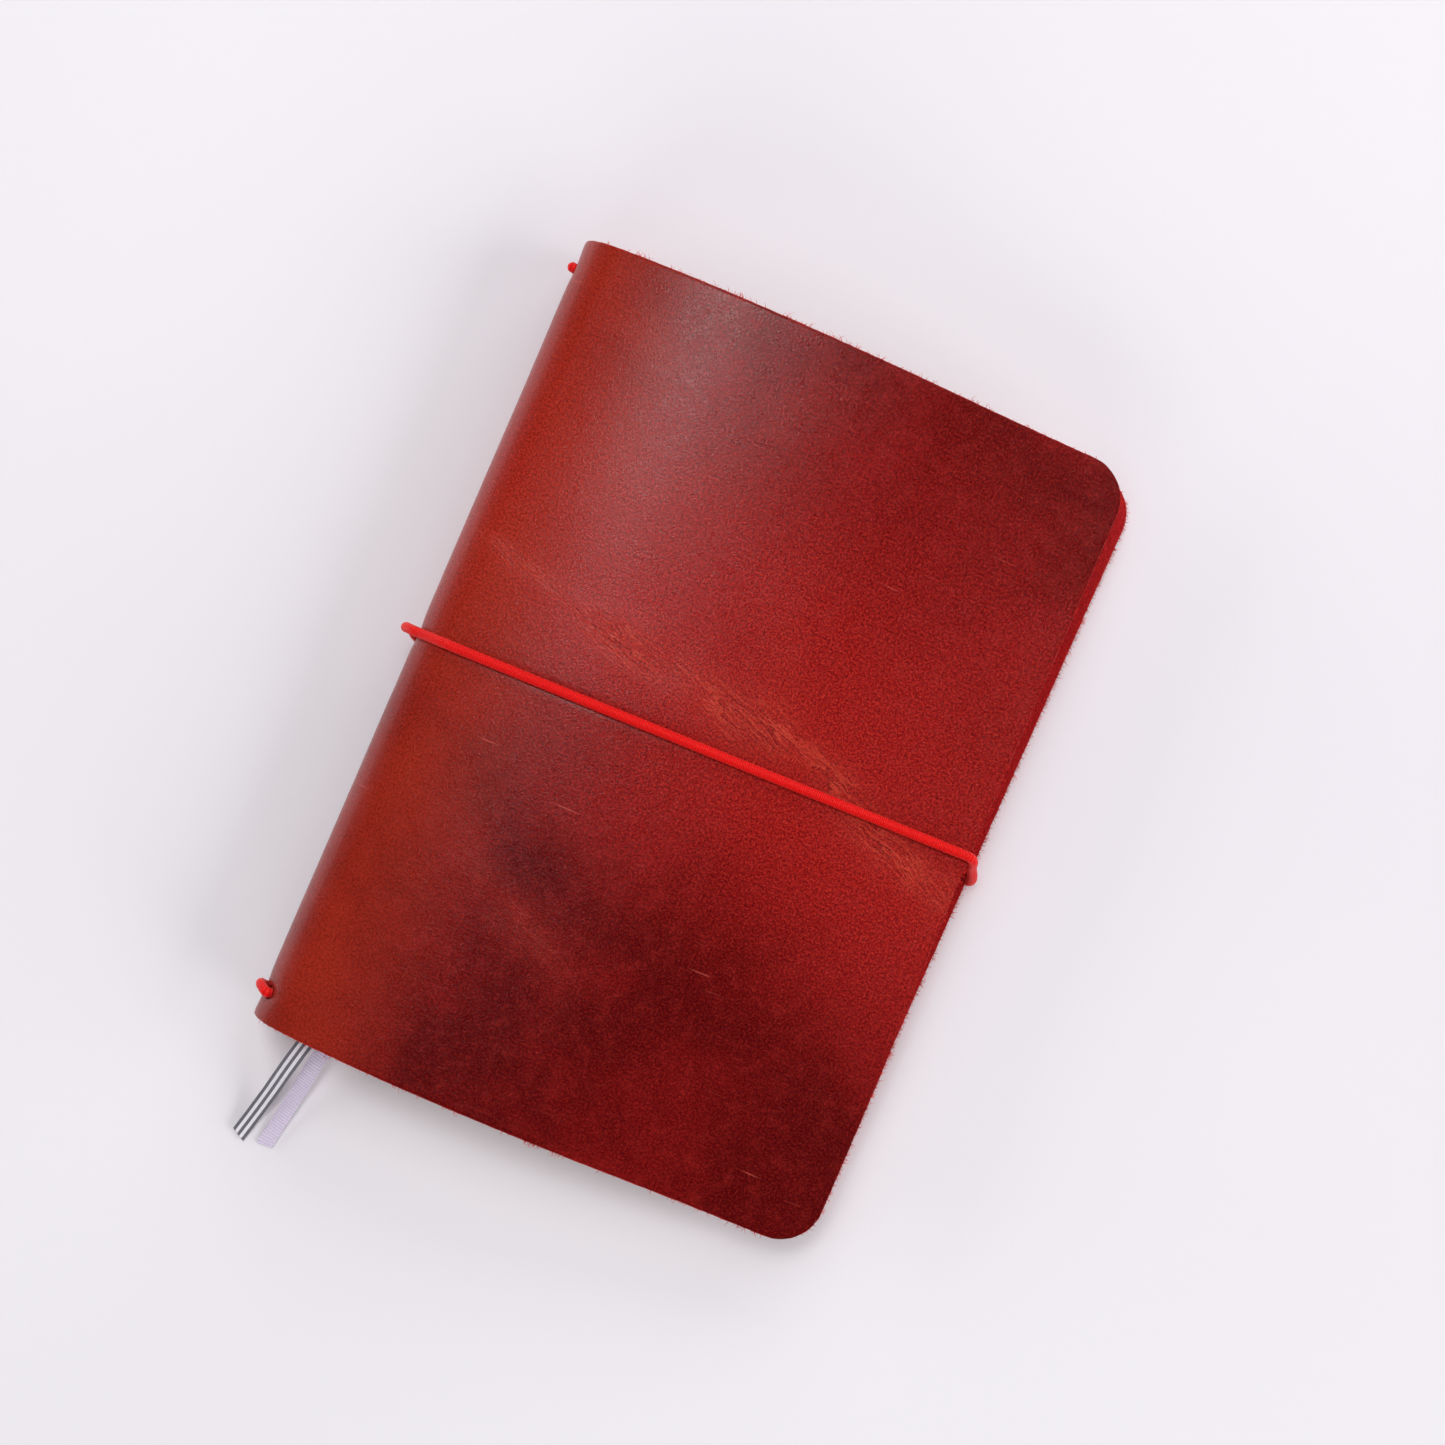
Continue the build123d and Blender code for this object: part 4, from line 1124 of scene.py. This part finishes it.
for name, route, slant, twist, skin, slot in (
        ("ribbon_grey_striped", GREY_ROUTE, 0.5, 9.0, STRIPED, "ribbon_striped"),
        ("ribbon_lavender", LAVENDER_ROUTE, -0.4, -5.0, LAVENDER, "ribbon_plain")):
    band, centre_line, length = ribbon(name + "_woven", route, slant, twist, len(name))
    dress(band, skin)
    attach(band, "back_cover")
    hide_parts(name)

for name, shape, trim, body, count in (("back", BACK_BOOKLET, False, "back_cover", 12),
                                       ("front", FRONT_BOOKLET, True, "turned_pages", 10)):
    card = card_cover(name + "_card", shape, trim=trim)
    dress(card, KRAFT)
    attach(card, body)
    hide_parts(name + "_booklet_cover")
    pages = page_stack(name + "_pages", shape, count, len(name), trim=trim)
    dress(pages, PAPER)
    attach(pages, body)
    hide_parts(name + "_booklet_pages")
for half, body in (("back", "back_cover"), ("front", "turned_pages")):
    card = card_cover("middle_card_" + half, MIDDLE_BOOKLET, half)
    dress(card, KRAFT)
    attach(card, body)
    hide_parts("middle_booklet_cover_" + half)
    pages = page_stack("middle_pages_" + half, MIDDLE_BOOKLET, 11, 20 + len(half), half)
    dress(pages, PAPER)
    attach(pages, body)
    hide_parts("middle_booklet_pages_" + half)

# Staples and loose leaves keep their exact shapes.
for name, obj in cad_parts.items():
    if name.endswith("_staples"):
        dress(obj, STEEL)
    elif name.startswith("loose_leaf"):
        dress(obj, PAPER)

# ---------------------------------------------------------------- setting
bpy.ops.mesh.primitive_plane_add(size=24.0, location=(0, 0, -0.0002))
floor = bpy.context.object
floor.name = "backdrop"
dress(floor, floor_material())

camera_data = bpy.data.cameras.new("camera")
camera_data.lens = 56.2
camera = bpy.data.objects.new("camera", camera_data)
camera.location = (0.0021, 0.0058, 0.420)
camera.rotation_euler = (0, 0, math.radians(23.35))
bpy.context.scene.collection.objects.link(camera)
bpy.context.scene.camera = camera


def soft_light(name, place, size, power, colour, lengthwise=(0.0, 1.0), mirrored=False):
    """An area light that faces the notebook; only a mirrored one shows in glossy surfaces."""
    data = bpy.data.lights.new(name, "AREA")
    data.shape = "RECTANGLE"
    data.size, data.size_y = size
    data.energy = power
    data.color = colour
    lamp = bpy.data.objects.new(name, data)
    away = Vector(place).normalized()
    long_side = Vector((*lengthwise, 0.0))
    long_side = (long_side - away * long_side.dot(away)).normalized()
    turned = Matrix((long_side.cross(away), long_side, away)).transposed().to_4x4()
    lamp.matrix_world = Matrix.Translation(place) @ turned
    lamp.visible_glossy = mirrored
    bpy.context.scene.collection.objects.link(lamp)


def from_sky(distance, tilt_x, tilt_y):
    """A place in the sky, by its tilts from the zenith."""
    direction = Vector((math.tan(math.radians(tilt_x)), math.tan(math.radians(tilt_y)), 1.0)).normalized()
    return direction * distance


soft_light("window_band", from_sky(1.2, -11.0, 16.5), (0.22, 0.36), 2.9, (1.0, 0.97, 0.98), (0.58, 0.81),
           mirrored=True)
soft_light("fill_top", from_sky(1.5, -10.0, 20.0), (0.9, 0.9), 5.6, (1.0, 0.98, 0.99))
soft_light("fill_head", from_sky(1.5, 0.0, 62.0), (1.4, 0.8), 9.5, (0.98, 0.98, 1.0))
soft_light("fill_fore_edge", from_sky(1.5, 62.0, 0.0), (0.8, 1.4), 14.0, (1.0, 0.99, 1.0))
soft_light("fill_spine", from_sky(1.5, -72.0, -15.0), (0.6, 1.2), 7.5, (1.0, 0.98, 0.98))
soft_light("fill_tail", from_sky(1.5, 10.0, -66.0), (1.4, 0.6), 7.0, (0.98, 0.98, 1.0))

world = bpy.data.worlds.new("sky")
world.use_nodes = True
world.node_tree.nodes["Background"].inputs[0].default_value = (0.95, 0.95, 1.0, 1.0)
world.node_tree.nodes["Background"].inputs[1].default_value = 0.03
bpy.context.scene.world = world
bpy.context.scene.view_settings.view_transform = "Standard"
